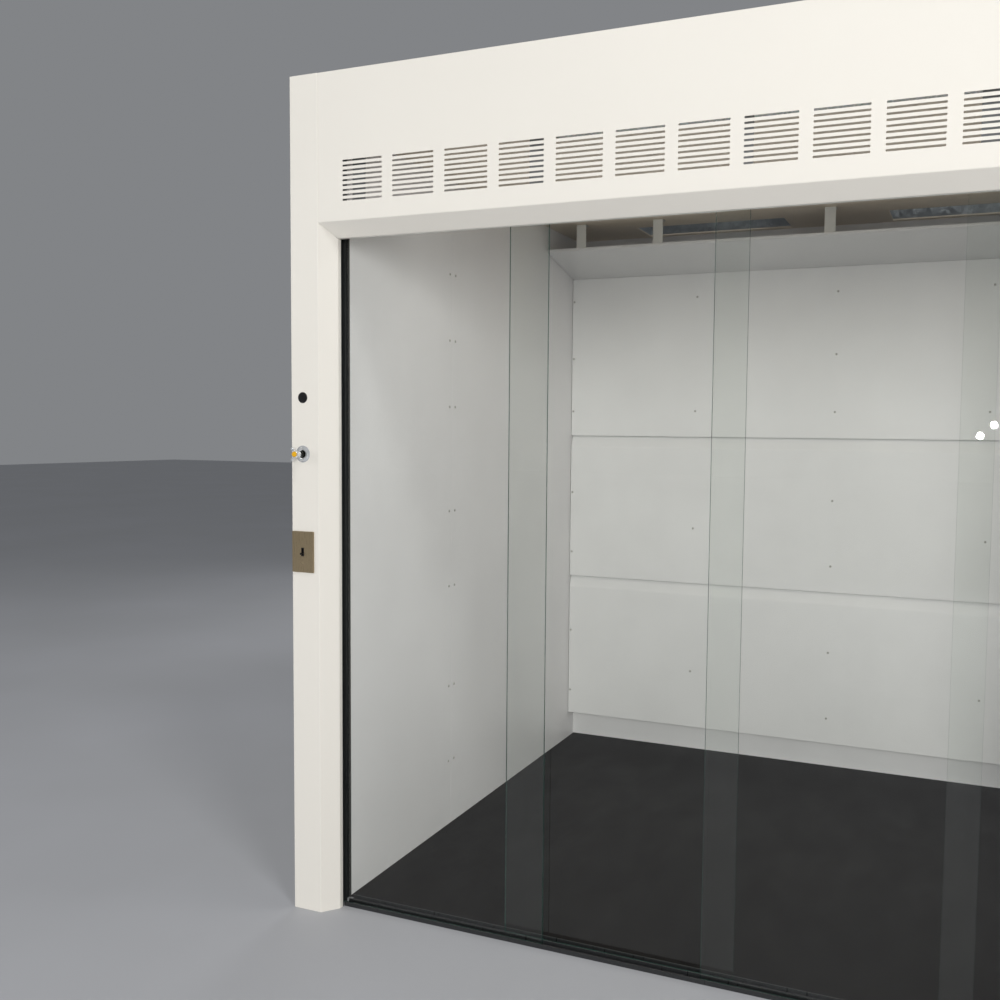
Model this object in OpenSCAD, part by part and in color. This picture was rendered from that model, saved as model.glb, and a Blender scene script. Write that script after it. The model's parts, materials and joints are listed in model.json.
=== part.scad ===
// Floor-mounted walk-in fume hood, eight feet wide.
// Millimetres, +Z up. The origin lies on the ground at the middle of the footprint,
// with the door side facing -Y. Most parts are drawn from the front left corner.

/* [Overall] */
// Width over the side panels
hood_w = 2438; // [2400:1:2500]
// Depth from the front face to the rear panels
hood_d = 1956; // [1900:1:2000]
// Height of the posts, header and frame
hood_h = 2300; // [2290:1:2400]
// Thickness of the painted steel sheet
skin_t = 1.5; // [1:0.1:2]

/* [Front] */
// Width of a front post's flat face
post_face_w = 89; // [80:1:95]
// How far the post's bevel runs inward
bevel_w = 36; // [30:1:40]
// How far both bevels run back
bevel_d = 43; // [38:1:48]
// Underside of the header's flat face
header_z = 1908; // [1900:1:1915]
// How far the header's bevel drops
bevel_drop = 38; // [32:1:42]
// Groups of louvre slots in the header
louver_groups = 14; // [10:1:14]
// Slots in one group
louver_slots = 9; // [5:1:9]
// Distance from one group to the next
group_pitch = 152.4; // [140:0.1:155]
// Length of one slot
slot_l = 121; // [100:1:125]
// Height of one slot
slot_h = 5; // [4:0.5:6]
// Distance from one slot to the next
slot_pitch = 12.7; // [11:0.1:13]

/* [Chamber] */
// Distance from the hood's side to the liner's inner face
liner_x = 110; // [106:1:114]
// Thickness of the liner boards
liner_t = 6; // [5:1:6]
// Height of the ceiling's underside
ceiling_z = 2175; // [2150:1:2185]
// Inner face of the back wall, from the front
back_y = 1905; // [1890:1:1910]
// Where the side liners are joined, from the front
liner_joint_y = 735; // [700:1:760]
// Front face of the baffles, from the front
baffle_y = 1833; // [1820:1:1840]
// Thickness of a baffle
baffle_t = 5; // [4:1:6]
// Height of the gap under the lowest baffle
baffle_gap = 117; // [100:1:130]
// Height from one baffle's lower edge to the next
baffle_pitch = 609.6; // [600:0.1:612]
// Thickness of the floor sheet
floor_t = 4; // [3:1:6]

/* [Doors] */
// Width of one glass door
door_w = 620; // [600:1:640]
// Thickness of the glass
glass_t = 6; // [5:1:6]
// Middle of the front lane, from the front
lane_y = 75; // [74:1:76]
// Distance between the two lanes
lane_pitch = 25; // [25:1:26]
// Bottom edge of the glass
glass_z0 = 6; // [6:1:8]
// Top edge of the glass
glass_z1 = 1910; // [1900:1:1910]
// Outer radius of a hanger roller
roller_r = 11.5; // [11:0.1:11.5]
// Radius of the groove in a roller
groove_r = 9.5; // [9.5:0.1:9.6]
// Radius of a roller's axle
axle_r = 3; // [2.5:0.5:3]

/* [Services] */
// Middle of the post fittings, from the hood's side
fitting_x = 37.5; // [36:0.5:40]
// Height of the switch plate's middle
switch_z = 1016; // [900:1:1100]
// Height of the valve
valve_z = 1286; // [1200:1:1350]
// Height of the plugged hole
plug_z = 1440; // [1400:1:1500]
// Radius of the valve's stem
stem_r = 4; // [3.5:0.5:4.5]
// Length of an exhaust collar's opening
exhaust_w = 587; // [500:1:600]
// Width of an exhaust collar's opening
exhaust_d = 190; // [150:1:195]
// Left edge of the left exhaust opening
exhaust_x = 441; // [440:1:520]
// Height of the exhaust collars' top flange
collar_z = 2345; // [2330:1:2380]

/* [Hidden] */
$fn = 64;

over = 1;                          // how far a cut runs past a surface
seam = 0.5;                        // half of the gap between two skin panels
post_return = 13;                  // depth of the flange inside a bevel
post_side_d = 45;                  // depth of a post's side face
jamb_y0 = bevel_d + post_return;   // front of the black door jambs
jamb_y1 = 117;                     // back of the black door jambs
post_in_x = post_face_w + bevel_w; // inner face of a front post
tube = 38;                         // side of the square frame tube
tube_t = 2;                        // wall of the frame tube
tube_x = liner_x - liner_t - tube; // outer face of the uprights
frame_y1 = hood_d - 7;             // rear face of the frame
rear_tube_y = frame_y1 - tube;
inner_w = hood_w - 2 * (tube_x + tube);
upright_y = [jamb_y1 + 2, liner_joint_y - tube, 1320, rear_tube_y];
upright_w = [tube, 2 * tube, tube, tube];
ceiling_top = ceiling_z + liner_t;

// Louvres
louver_x0 = (hood_w - (louver_groups - 1) * group_pitch - slot_l) / 2;
louver_z0 = 1961.5;

// Baffles
lap_drop = 50;                     // length of the bent top of a baffle, below the lap
lap_rise = 12;                     // how far it runs up behind the baffle above
lap_back = 22;                     // how far it bends back
baffle_gap_x = 2;                  // gap from a baffle's end to the liner
top_bend_z = 2003;                 // where the sloped top baffle starts
top_edge_y = 1545;                 // front edge of the sloped top baffle
top_edge_z = 2072;                 // underside of that edge
top_lip = 12;                      // height of the lip along it
spacer_r = 8;
end_column_z = [218, 484, 830, 1090, 1440, 1665, 1908];
mid_column_z = [353, 956, 1442, 1909];
end_column_x = [liner_x + 10, hood_w / 2, hood_w - liner_x - 10];
mid_column_x = [hood_w / 4 + 50, hood_w * 3 / 4 - 50];
bracket_x = [255, 571, hood_w / 2, hood_w - 571, hood_w - 255];
bracket_w = 40;

// Doors: left edge of each door and its lane
door_rest_x = [112, 613, 1157, hood_w - 112 - door_w];
door_lane = [0, 1, 0, 1];
roller_inset = 90;                 // from a door's edge to its roller
roller_half_w = 4;
axle_gap = 0.05;                   // running clearance of a roller on its axle
ridge_z = 1927.2;                  // top of the ridge that the rollers run on
axle_z = ridge_z + groove_r + 0.3;
ledge_z = 1922;                    // underside of the roller ledges
ledge_t = 3;
track_top = 1958;
track_y0 = 60;
hanger_t = 2.5;
hanger_w = 46;
clamp_w = 80;
clamp_h = 30;

// Services
valve_tail_y = 30;                 // back face of the valve body
pipe_r = 6.35;                     // supply pipe to the valve
inlet_r = 8;                       // plain end that the building's pipe slips over
inlet_l = 24;
inlet_top = hood_h - 4;
light_w = 1240;
light_d = 180;
light_y0 = 250;
light_lip = 20;

// ---------------------------------------------------------------- helpers

// Draws from the hood's front left corner at ground level.
module corner() {
    translate([-hood_w / 2, -hood_d / 2, 0]) children();
}

// A left-hand part moved to the right-hand side.
module right_hand() {
    mirror([1, 0, 0]) children();
}

function unit(v) = v / norm(v);
function left_of(v) = [-v.y, v.x];

// Point i of path p, moved by t to the path's left with a sharp mitre.
function mitred(p, i, t) =
    let (a = unit(p[max(i, 1)] - p[max(i, 1) - 1]),
         j = min(i, len(p) - 2),
         b = unit(p[j + 1] - p[j]),
         m = unit(left_of(a) + left_of(b)))
    p[i] + m * t / (m * left_of(a));

// Outline of a folded sheet: p is its outer face and t its thickness, to the left.
function folded(p, t) = concat(p, [for (i = [len(p) - 1:-1:0]) mitred(p, i, t)]);

// Sheet folded along path p in XY, running up from z0 to z1.
module upright_sheet(p, t, z0, z1) {
    translate([0, 0, z0]) linear_extrude(z1 - z0) polygon(folded(p, t));
}

// Outline in YZ, running along X from x0 to x1.
module along_x(x0, x1) {
    translate([x0, 0, 0]) rotate([90, 0, 90]) linear_extrude(x1 - x0) children();
}

// Outline in XZ, running along Y from y0 to y1.
module along_y(y0, y1) {
    translate([0, y1, 0]) rotate([90, 0, 0]) linear_extrude(y1 - y0) children();
}

// Box from its lowest corner to its highest corner.
module block(low, high) {
    translate(low) cube(high - low);
}

// Round bar along +Y from y0 to y1 at (x, z).
module round_y(x, z, y0, y1, r) {
    translate([x, y1, z]) rotate([90, 0, 0]) cylinder(h = y1 - y0, r = r);
}

// Square tube along X, Y or Z, given by its outer box.
module square_tube(low, high, axis) {
    wall = [for (i = [0:2]) i == axis ? -over : tube_t];
    difference() {
        block(low, high);
        block(low + wall, high - wall);
    }
}

// ---------------------------------------------------------------- outer skin

// The side of the mitre that belongs to the post: under the diagonal line.
module mitre_wedge(side) {
    foot = [post_in_x + side * seam, header_z - bevel_drop];
    head = [post_face_w + side * seam, header_z];
    along_y(-over, jamb_y0 + over)
        polygon(side < 0
            ? [head + [0, over], head, foot, [foot.x + over, foot.y], [foot.x + over, head.y + over]]
            : [head - [over, 0], head, foot, [foot.x, foot.y - over], [head.x - over, foot.y - over]]);
}

module front_post() {
    side = [0, post_side_d];
    face = [post_face_w - seam, 0];
    difference() {
        union() {
            upright_sheet([side, [0, 0], [post_face_w, 0], [post_in_x, bevel_d],
                [post_in_x, jamb_y0]], skin_t, 0, header_z);
            upright_sheet([side, [0, 0], face, [face.x, post_side_d]],
                skin_t, header_z, hood_h);
        }
        mitre_wedge(-1);
    }
}

module fitting_holes() {
    round_y(fitting_x, plug_z, -over, skin_t + over, 11.2);
    round_y(fitting_x, valve_z, -over, skin_t + over, 11);
    block([fitting_x - 26, -over, switch_z - 38], [fitting_x + 26, skin_t + over, switch_z + 38]);
}

module left_front_post() {
    color("#e5e3dc") corner() difference() {
        front_post();
        fitting_holes();
    }
}

module right_front_post() {
    color("#e5e3dc") right_hand() corner() front_post();
}

module louver_cuts() {
    for (g = [0:louver_groups - 1], s = [0:louver_slots - 1]) {
        x = louver_x0 + g * group_pitch;
        z = louver_z0 + s * slot_pitch;
        block([x, -over, z - slot_h / 2], [x + slot_l, skin_t + over, z + slot_h / 2]);
    }
}

module header_panel() {
    outline = [[post_side_d, hood_h], [0, hood_h], [0, header_z],
        [bevel_d, header_z - bevel_drop], [jamb_y0, header_z - bevel_drop]];
    end_x = post_face_w + seam;
    color("#e5e3dc") corner() difference() {
        along_x(end_x, hood_w - end_x) polygon(folded(outline, skin_t));
        mitre_wedge(1);
        translate([hood_w, 0, 0]) mirror([1, 0, 0]) mitre_wedge(1);
        louver_cuts();
    }
}

module side_sheet(y0, y1) {
    edge = 20;
    upright_sheet([[edge, y1], [0, y1], [0, y0], [edge, y0]], skin_t, 0, hood_h);
}

module side_panels() {
    joint = hood_d / 2;
    side_sheet(post_side_d + 2 * seam, joint - seam);
    side_sheet(joint + seam, hood_d - 5);
}

module left_side_panels() {
    color("#dddbd4") corner() side_panels();
}

module right_side_panels() {
    color("#dddbd4") right_hand() corner() side_panels();
}

module rear_panels() {
    edge = 4;
    color("#d6d4cd") corner() for (x = [edge / 2, hood_w / 2 + seam])
        upright_sheet([[x, hood_d - edge], [x, hood_d], [x + hood_w / 2 - edge / 2 - seam, hood_d],
            [x + hood_w / 2 - edge / 2 - seam, hood_d - edge]], -skin_t, 0, hood_h);
}

// ---------------------------------------------------------------- frame

module header_beam() {
    color("#9a9c9e") corner()
        square_tube([tube_x + tube, 57, ceiling_top], [hood_w - tube_x - tube, jamb_y1, 2262], 0);
}

module uprights() {
    for (i = [0:len(upright_y) - 1])
        square_tube([tube_x, upright_y[i], tube],
            [tube_x + tube, upright_y[i] + upright_w[i], hood_h - tube], 2);
}

module left_uprights() {
    color("#9a9c9e") corner() uprights();
}

module right_uprights() {
    color("#9a9c9e") right_hand() corner() uprights();
}

module side_rail(x, z) {
    square_tube([x, upright_y[0], z], [x + tube, frame_y1, z + tube], 1);
}

module cross_rail(y, z) {
    end_x = tube_x + tube + seam;
    square_tube([end_x, y, z], [hood_w - end_x, y + tube, z + tube], 0);
}

module frame_rails() {
    color("#9a9c9e") corner() {
        for (x = [tube_x, hood_w - tube_x - tube], z = [0, hood_h - tube]) side_rail(x, z);
        for (z = [0, hood_h / 2, hood_h - tube]) cross_rail(rear_tube_y, z);
        for (y = [liner_joint_y - tube / 2, 1320]) cross_rail(y, ceiling_top);
    }
}

// ---------------------------------------------------------------- liners

module exhaust_area(grow) {
    translate([exhaust_x - grow, back_y - 25 - exhaust_d - grow])
        square([exhaust_w + 2 * grow, exhaust_d + 2 * grow]);
}

module ceiling_liner() {
    color("#8d8a84") corner() translate([0, 0, ceiling_z]) linear_extrude(liner_t) difference() {
        translate([tube_x + tube, jamb_y1]) square([inner_w, back_y + liner_t - jamb_y1]);
        exhaust_area(0);
        translate([hood_w, 0]) mirror([1, 0]) exhaust_area(0);
        translate([hood_w / 2 - light_w / 2 + light_lip, light_y0 + light_lip])
            square([light_w - 2 * light_lip, light_d - 2 * light_lip]);
    }
}

liner_screw_y = [liner_joint_y - 20, liner_joint_y + 19];
liner_screw_z = [225, 485, 828, 1083, 1432, 1652, 1870];
screw_r = 2.2;

// Places children at every screw of a side liner, pointing into the chamber.
module at_liner_screws(y) {
    for (z = liner_screw_z) translate([liner_x, y, z]) rotate([0, 90, 0]) children();
}

module side_liner(y0, y1, screw_y) {
    difference() {
        block([liner_x - liner_t, y0, floor_t], [liner_x, y1, ceiling_z]);
        at_liner_screws(screw_y) translate([0, 0, -liner_t - over])
            cylinder(h = liner_t + 2 * over, r = screw_r);
    }
}

module left_front_liner() {
    color("#c9c9c5") corner() side_liner(jamb_y1, liner_joint_y - seam, liner_screw_y[0]);
}

module left_rear_liner() {
    color("#c4c4c0") corner() side_liner(liner_joint_y + seam, back_y, liner_screw_y[1]);
}

module right_front_liner() {
    color("#c9c9c5") right_hand() corner()
        side_liner(jamb_y1, liner_joint_y - seam, liner_screw_y[0]);
}

module right_rear_liner() {
    color("#c4c4c0") right_hand() corner()
        side_liner(liner_joint_y + seam, back_y, liner_screw_y[1]);
}

module back_liner() {
    color("#bdbdb9") corner() block([liner_x - liner_t, back_y, floor_t],
        [hood_w - liner_x + liner_t, back_y + liner_t, ceiling_z]);
}

module floor_sheet() {
    color("#23201f") corner() block([liner_x - liner_t, jamb_y1, 0],
        [hood_w - liner_x + liner_t, back_y + liner_t, floor_t]);
}

// ---------------------------------------------------------------- baffles

function lower_edge(i) = baffle_gap + i * baffle_pitch;

// Places children at every baffle screw between two heights, pointing to the front.
module at_baffle_screws(z0, z1) {
    for (x = end_column_x, z = end_column_z) if (z > z0 && z < z1)
        translate([x, baffle_y, z]) rotate([90, 0, 0]) children();
    for (x = mid_column_x, z = mid_column_z) if (z > z0 && z < z1)
        translate([x, baffle_y, z]) rotate([90, 0, 0]) children();
}

module baffle(outline, z0, z1) {
    end_x = liner_x + baffle_gap_x;
    difference() {
        along_x(end_x, hood_w - end_x) polygon(folded(outline, baffle_t));
        at_baffle_screws(z0, z1) translate([0, 0, -baffle_t - over])
            cylinder(h = baffle_t + 2 * over, r = screw_r);
    }
}

module lapped_baffle(i) {
    lap = lower_edge(i + 1);
    baffle([[baffle_y + lap_back, lap + lap_rise], [baffle_y, lap - lap_drop],
        [baffle_y, lower_edge(i)]], lower_edge(i), lap);
}

module lower_baffle() {
    color("#c2c2be") corner() lapped_baffle(0);
}

module middle_baffle() {
    color("#c2c2be") corner() lapped_baffle(1);
}

module upper_baffle() {
    color("#c2c2be") corner()
        baffle([[baffle_y, top_bend_z], [baffle_y, lower_edge(2)]], lower_edge(2), top_bend_z);
}

module top_baffle() {
    flange = 40;
    back = baffle_y + baffle_t;
    color("#c8c8c4") corner() baffle([[top_edge_y, top_edge_z + top_lip],
        [top_edge_y, top_edge_z], [back, top_bend_z], [back, top_bend_z - flange]], 0, 0);
}

module baffle_spacers() {
    color("#e8e8e4") corner() at_baffle_screws(0, ceiling_z)
        translate([0, 0, baffle_y - back_y])
            cylinder(h = back_y - baffle_y - baffle_t, r = spacer_r);
}

module ceiling_brackets() {
    t = 3;
    foot_l = 35;
    y = top_edge_y + baffle_t;
    z = ceiling_z - t;
    color("#d8d8d4") corner() for (x = bracket_x)
        along_x(x - bracket_w / 2, x + bracket_w / 2) polygon(folded(
            [[y + foot_l, z], [y + t, z], [y + t, top_edge_z + 2 * t]], -t));
}

module wall_screws() {
    color("#e4e4e0") {
        corner() liner_screws();
        right_hand() corner() liner_screws();
        corner() at_baffle_screws(0, ceiling_z) screw(baffle_t);
    }
}

// Pan-head screw: the head stands on z = 0 and the shank runs down.
module screw(shank_l) {
    head_r = 4.5;
    head_h = 2.5;
    cylinder(h = head_h / 2, r = head_r);
    translate([0, 0, head_h / 2]) cylinder(h = head_h / 2, r1 = head_r, r2 = head_r / 2);
    translate([0, 0, -shank_l]) cylinder(h = shank_l, r = screw_r - 0.2);
}

module liner_screws() {
    for (y = liner_screw_y) at_liner_screws(y) screw(liner_t);
}

// ---------------------------------------------------------------- exhaust

module exhaust_collar() {
    flange = 30;
    wall = 2;
    hole_r = 4.5;
    flange_t = 3;
    difference() {
        union() {
            for (z = [ceiling_top, collar_z - flange_t])
                translate([0, 0, z]) linear_extrude(flange_t) exhaust_area(flange - 5);
            translate([0, 0, ceiling_top]) linear_extrude(collar_z - ceiling_top)
                exhaust_area(wall);
        }
        translate([0, 0, ceiling_top - over])
            linear_extrude(collar_z - ceiling_top + 2 * over) exhaust_area(0);
        for (x = [-flange / 2 + 1, exhaust_w + flange / 2 - 1],
             y = [-flange / 2 + 1, exhaust_d + flange / 2 - 1])
            translate([exhaust_x + x, back_y - 25 - exhaust_d + y, collar_z - flange_t - over])
                cylinder(h = flange_t + 2 * over, r = hole_r);
    }
}

module left_exhaust_collar() {
    color("#b8bbbd") corner() exhaust_collar();
}

module right_exhaust_collar() {
    color("#b8bbbd") right_hand() corner() exhaust_collar();
}

// ---------------------------------------------------------------- doors

lane_reach = 9.5;                  // from a lane's middle to its web
track_t = 3;                       // wall of the track

module lane_rail(yc) {
    web_y = yc + lane_reach;
    lip = 4;
    ridge_half = 1.4;
    block([0, web_y, ledge_z], [inner_w, web_y + track_t, track_top]);
    block([0, yc - lip, ledge_z], [inner_w, web_y, ledge_z + ledge_t]);
    block([0, yc - ridge_half, ledge_z + ledge_t], [inner_w, yc + ridge_half, ridge_z]);
}

module door_track() {
    fascia_z = 1930;
    fascia_t = 2.5;
    color("#b4b6b8") corner() translate([tube_x + tube, 0, 0]) union() {
        block([0, track_y0, track_top - track_t],
            [inner_w, lane_y + lane_pitch + lane_reach + track_t, track_top]);
        block([0, track_y0, fascia_z], [inner_w, track_y0 + fascia_t, track_top]);
        for (i = [0, 1]) lane_rail(lane_y + i * lane_pitch);
    }
}

module track_brackets() {
    w = 40;
    leaf = 4;
    inset = 40;
    rear_y = 88;
    step = (inner_w - 2 * inset - w) / 4;
    color("#9a9c9e") corner() for (i = [0:4])
        translate([tube_x + tube + inset + i * step, 0, 0]) {
            block([0, rear_y - leaf, track_top], [w, rear_y, ceiling_top]);
            block([0, rear_y - 6 * leaf, track_top], [w, rear_y - leaf, track_top + leaf]);
        }
}

module bottom_guide() {
    y0 = lane_y - 13;
    rib = 3;
    gap = (2 * lane_pitch + 1 - 3 * rib) / 2;
    color("#2b2b2b") corner() union() {
        block([post_in_x, y0, 0], [hood_w - post_in_x, y0 + 2 * lane_pitch + 1, 3]);
        for (i = [0:2]) block([post_in_x, y0 + i * (gap + rib), 0],
            [hood_w - post_in_x, y0 + i * (gap + rib) + rib, 12]);
    }
}

module door_jamb() {
    jamb_top = 1915;
    base_x = liner_x - liner_t;
    lip = 3;
    fin_y = lane_y + lane_pitch / 2;
    color("#2b2b2b") linear_extrude(jamb_top) union() {
        translate([base_x, jamb_y0]) square([lip, jamb_y1 - jamb_y0]);
        translate([base_x, jamb_y0]) square([post_in_x - base_x, lip]);
        translate([base_x, fin_y - 1]) square([liner_x + 8 - base_x, 2]);
        translate([base_x, jamb_y1 - lip]) square([liner_x + 3 - base_x, lip]);
    }
}

module left_door_jamb() {
    corner() door_jamb();
}

module right_door_jamb() {
    right_hand() corner() door_jamb();
}

function door_x(i) = door_rest_x[i];
function door_y(i) = lane_y + door_lane[i] * lane_pitch;
function roller_x(i, k) = door_x(i) + (k == 0 ? roller_inset : door_w - roller_inset);

module door_glass(i) {
    color([0.75, 0.85, 0.82, 0.35]) corner() difference() {
        block([door_x(i), door_y(i) - glass_t / 2, glass_z0],
            [door_x(i) + door_w, door_y(i) + glass_t / 2, glass_z1]);
        for (k = [0, 1], s = [-1, 1])
            round_y(roller_x(i, k) + s * clamp_w / 4, glass_z1 - clamp_h / 2,
                door_y(i) - glass_t, door_y(i) + glass_t, 5);
    }
}

module hanger(x, yc) {
    front = yc - 7.5;
    back = yc + glass_t / 2 + hanger_t;
    bridge_t = 3;
    leaf_top = 1948;
    bolt_r = 4;
    bolt_out = 1.5;
    axle_end = yc + 6;
    block([x - clamp_w / 2, front, glass_z1 - clamp_h],
        [x + clamp_w / 2, yc - glass_t / 2, glass_z1]);
    block([x - clamp_w / 2, yc + glass_t / 2, glass_z1 - clamp_h],
        [x + clamp_w / 2, back, glass_z1]);
    block([x - clamp_w / 2, front, glass_z1], [x + clamp_w / 2, back, glass_z1 + bridge_t]);
    block([x - hanger_w / 2, front, glass_z1], [x + hanger_w / 2, front + hanger_t, leaf_top]);
    for (s = [-1, 1]) round_y(x + s * clamp_w / 4, glass_z1 - clamp_h / 2,
        front - bolt_out, back + bolt_out, bolt_r);
    round_y(x, axle_z, front - bolt_out, axle_end, axle_r);
    round_y(x, axle_z, yc + roller_half_w + seam, axle_end, axle_r + bolt_out);
}

module door_hangers(i) {
    color("#c5c8ca") corner() for (k = [0, 1]) hanger(roller_x(i, k), door_y(i));
}

module roller(i, k) {
    flange = 1.9;
    bore = axle_r + axle_gap;
    half = roller_half_w;
    color("#3a3a3c") corner() translate([roller_x(i, k), door_y(i), axle_z])
        rotate([90, 0, 0]) rotate_extrude()
            polygon([[bore, -half], [roller_r, -half], [roller_r, -flange], [groove_r, -flange],
                [groove_r, flange], [roller_r, flange], [roller_r, half], [bore, half]]);
}

module door_1_glass() { door_glass(0); }
module door_2_glass() { door_glass(1); }
module door_3_glass() { door_glass(2); }
module door_4_glass() { door_glass(3); }
module door_1_hangers() { door_hangers(0); }
module door_2_hangers() { door_hangers(1); }
module door_3_hangers() { door_hangers(2); }
module door_4_hangers() { door_hangers(3); }
module door_1_left_roller() { roller(0, 0); }
module door_1_right_roller() { roller(0, 1); }
module door_2_left_roller() { roller(1, 0); }
module door_2_right_roller() { roller(1, 1); }
module door_3_left_roller() { roller(2, 0); }
module door_3_right_roller() { roller(2, 1); }
module door_4_left_roller() { roller(3, 0); }
module door_4_right_roller() { roller(3, 1); }

// ---------------------------------------------------------------- light

module light_area(shrink) {
    translate([hood_w / 2 - light_w / 2 + shrink, light_y0 + shrink])
        square([light_w - 2 * shrink, light_d - 2 * shrink]);
}

module light_lens() {
    color([0.9, 0.95, 0.95, 0.5]) corner()
        translate([0, 0, ceiling_top]) linear_extrude(5) light_area(2);
}

module light_housing() {
    h = 75;
    wall = 1.5;
    z0 = ceiling_top + 5;
    color("#cfd1d2") corner() difference() {
        translate([0, 0, z0]) linear_extrude(h) light_area(0);
        translate([0, 0, z0 - over]) linear_extrude(h + over - wall) light_area(wall);
    }
}

module light_tubes() {
    color("#f4f4ee") corner() for (s = [-1, 1])
        translate([hood_w / 2 - 600, light_y0 + light_d / 2 + s * 40, ceiling_top + 35])
            rotate([0, 90, 0]) cylinder(h = 1200, r = 12.7);
}

// ---------------------------------------------------------------- switch

module switch_box() {
    x0 = fitting_x - 25.5;
    y0 = skin_t;
    z0 = switch_z - 37.5;
    wall = 1.5;
    size = [51, post_side_d - skin_t - 1, 75];
    color("#a4a7a9") corner() translate([x0, y0, z0]) difference() {
        cube(size);
        translate([wall, -over, wall]) cube(size - [2 * wall, wall - over, 2 * wall]);
    }
}

module toggle_switch() {
    color("#1f1f20") corner() difference() {
        union() {
            block([fitting_x - 12, skin_t + 0.5, switch_z - 32],
                [fitting_x + 12, skin_t + 26, switch_z + 32]);
            block([fitting_x - 4.6, -4, switch_z - 11.5],
                [fitting_x + 4.6, skin_t + 0.5, switch_z + 11.5]);
        }
        block([fitting_x - 3.1, -4 - over, switch_z - 9.5],
            [fitting_x + 3.1, skin_t + 13, switch_z + 9.5]);
        for (s = [-1, 1])
            round_y(fitting_x, switch_z + s * plate_screw_z, skin_t, skin_t + 27, 1.9);
    }
}

plate_t = 5;                       // depth of the pressed plate
plate_screw_z = 30;                // from the plate's middle to each screw

module switch_plate() {
    w = 70;
    h = 114.3;
    rim = 4;
    edge = 1.5;
    outline = [[-w / 2, 0], [-w / 2, -edge], [-w / 2 + rim, -plate_t], [w / 2 - rim, -plate_t],
        [w / 2, -edge], [w / 2, 0]];
    profile = [[0, -h / 2], [-edge, -h / 2], [-plate_t, -h / 2 + rim],
        [-plate_t, h / 2 - rim], [-edge, h / 2], [0, h / 2]];
    color("#78694f") corner() translate([fitting_x, 0, switch_z]) difference() {
        intersection() {
            translate([0, 0, -h / 2]) linear_extrude(h) polygon(outline);
            along_x(-w / 2, w / 2) polygon(profile);
        }
        intersection() {
            translate([0, edge, -h / 2]) linear_extrude(h) polygon(outline);
            block([edge - w / 2, edge - plate_t, edge - h / 2], [w / 2 - edge, over, h / 2 - edge]);
        }
        block([-4.8, -plate_t - over, -12], [4.8, over, 12]);
        for (s = [-1, 1]) round_y(0, s * plate_screw_z, -plate_t - over, over, 1.9);
    }
}

module plate_screws() {
    color("#8a7a5c") corner() for (s = [-1, 1]) {
        round_y(fitting_x, switch_z + s * plate_screw_z, -plate_t - 1.2, -plate_t, 3.2);
        round_y(fitting_x, switch_z + s * plate_screw_z, -plate_t, skin_t + 16, 1.7);
    }
}

lever_y = skin_t + 5;              // pivot of the toggle lever
lever_tilt = 15;                   // how far the lever points down at rest

module toggle_lever() {
    reach = 18;
    half_w = 2.6;
    color("#1b1b1c") corner() translate([fitting_x, lever_y, switch_z])
        rotate([lever_tilt, 0, 0]) union() {
            rotate([0, 90, 0]) cylinder(h = 5.6, r = 4.5, center = true);
            block([-half_w, -reach, -half_w], [half_w, 0, half_w]);
            translate([0, -reach, 0]) rotate([0, 90, 0])
                cylinder(h = 2 * half_w, r = 2.9, center = true);
        }
}

// ---------------------------------------------------------------- valve

module valve_body() {
    bore = stem_r + axle_gap;
    color("#b08d57") corner() difference() {
        union() {
            round_y(fitting_x, valve_z, -6, skin_t, 10.8);
            round_y(fitting_x, valve_z, -18, -6, 9);
            round_y(fitting_x, valve_z, skin_t, valve_tail_y, 14);
            translate([fitting_x, valve_tail_y - 12, valve_z])
                cylinder(h = inlet_top - valve_z, r = pipe_r);
            translate([fitting_x, valve_tail_y - 12, inlet_top - inlet_l])
                cylinder(h = inlet_l, r = inlet_r);
        }
        round_y(fitting_x, valve_z, -18 - over, valve_tail_y - 3, bore);
        translate([fitting_x, valve_tail_y - 12, valve_z + 20])
            cylinder(h = inlet_top - valve_z, r = pipe_r - 1);
    }
}

module valve_escutcheon() {
    color("#d8dadb") corner() translate([fitting_x, 0, valve_z]) rotate([90, 0, 0])
        rotate_extrude() polygon([[11, 0], [23, 0], [23, 1.5], [17, 4.5], [11, 4.5]]);
}

module valve_handle() {
    arm_y = -29;
    hub_half = 10;
    hub_r = 9.5;
    ball_r = 4.6;
    ball_z = 20;
    color("#d5d8da") corner() union() {
        round_y(fitting_x, valve_z, arm_y + hub_half / 2, valve_tail_y - 5, stem_r);
        round_y(fitting_x, valve_z, arm_y - hub_half, arm_y + hub_half, hub_r);
        for (a = [45:90:315]) translate([fitting_x, arm_y, valve_z]) rotate([0, a, 0]) {
            translate([0, 0, hub_r - 2.5]) cylinder(h = ball_z - hub_r + 2.5, r = 3);
            translate([0, 0, ball_z]) sphere(r = ball_r);
        }
    }
}

module valve_button() {
    color("#e0a91c") corner() translate([fitting_x, -39, valve_z]) rotate([90, 0, 0])
        rotate_extrude() polygon([[0, 0], [7.5, 0], [7.5, 1.5], [5.5, 3], [0, 3]]);
}

module hole_plug() {
    color("#151515") corner() translate([fitting_x, 0, plug_z]) rotate([90, 0, 0])
        rotate_extrude() polygon([[0, -8], [10.8, -8], [10.8, 0], [15, 0], [15, 1],
            [12, 2.6], [0, 2.6]]);
}

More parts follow.
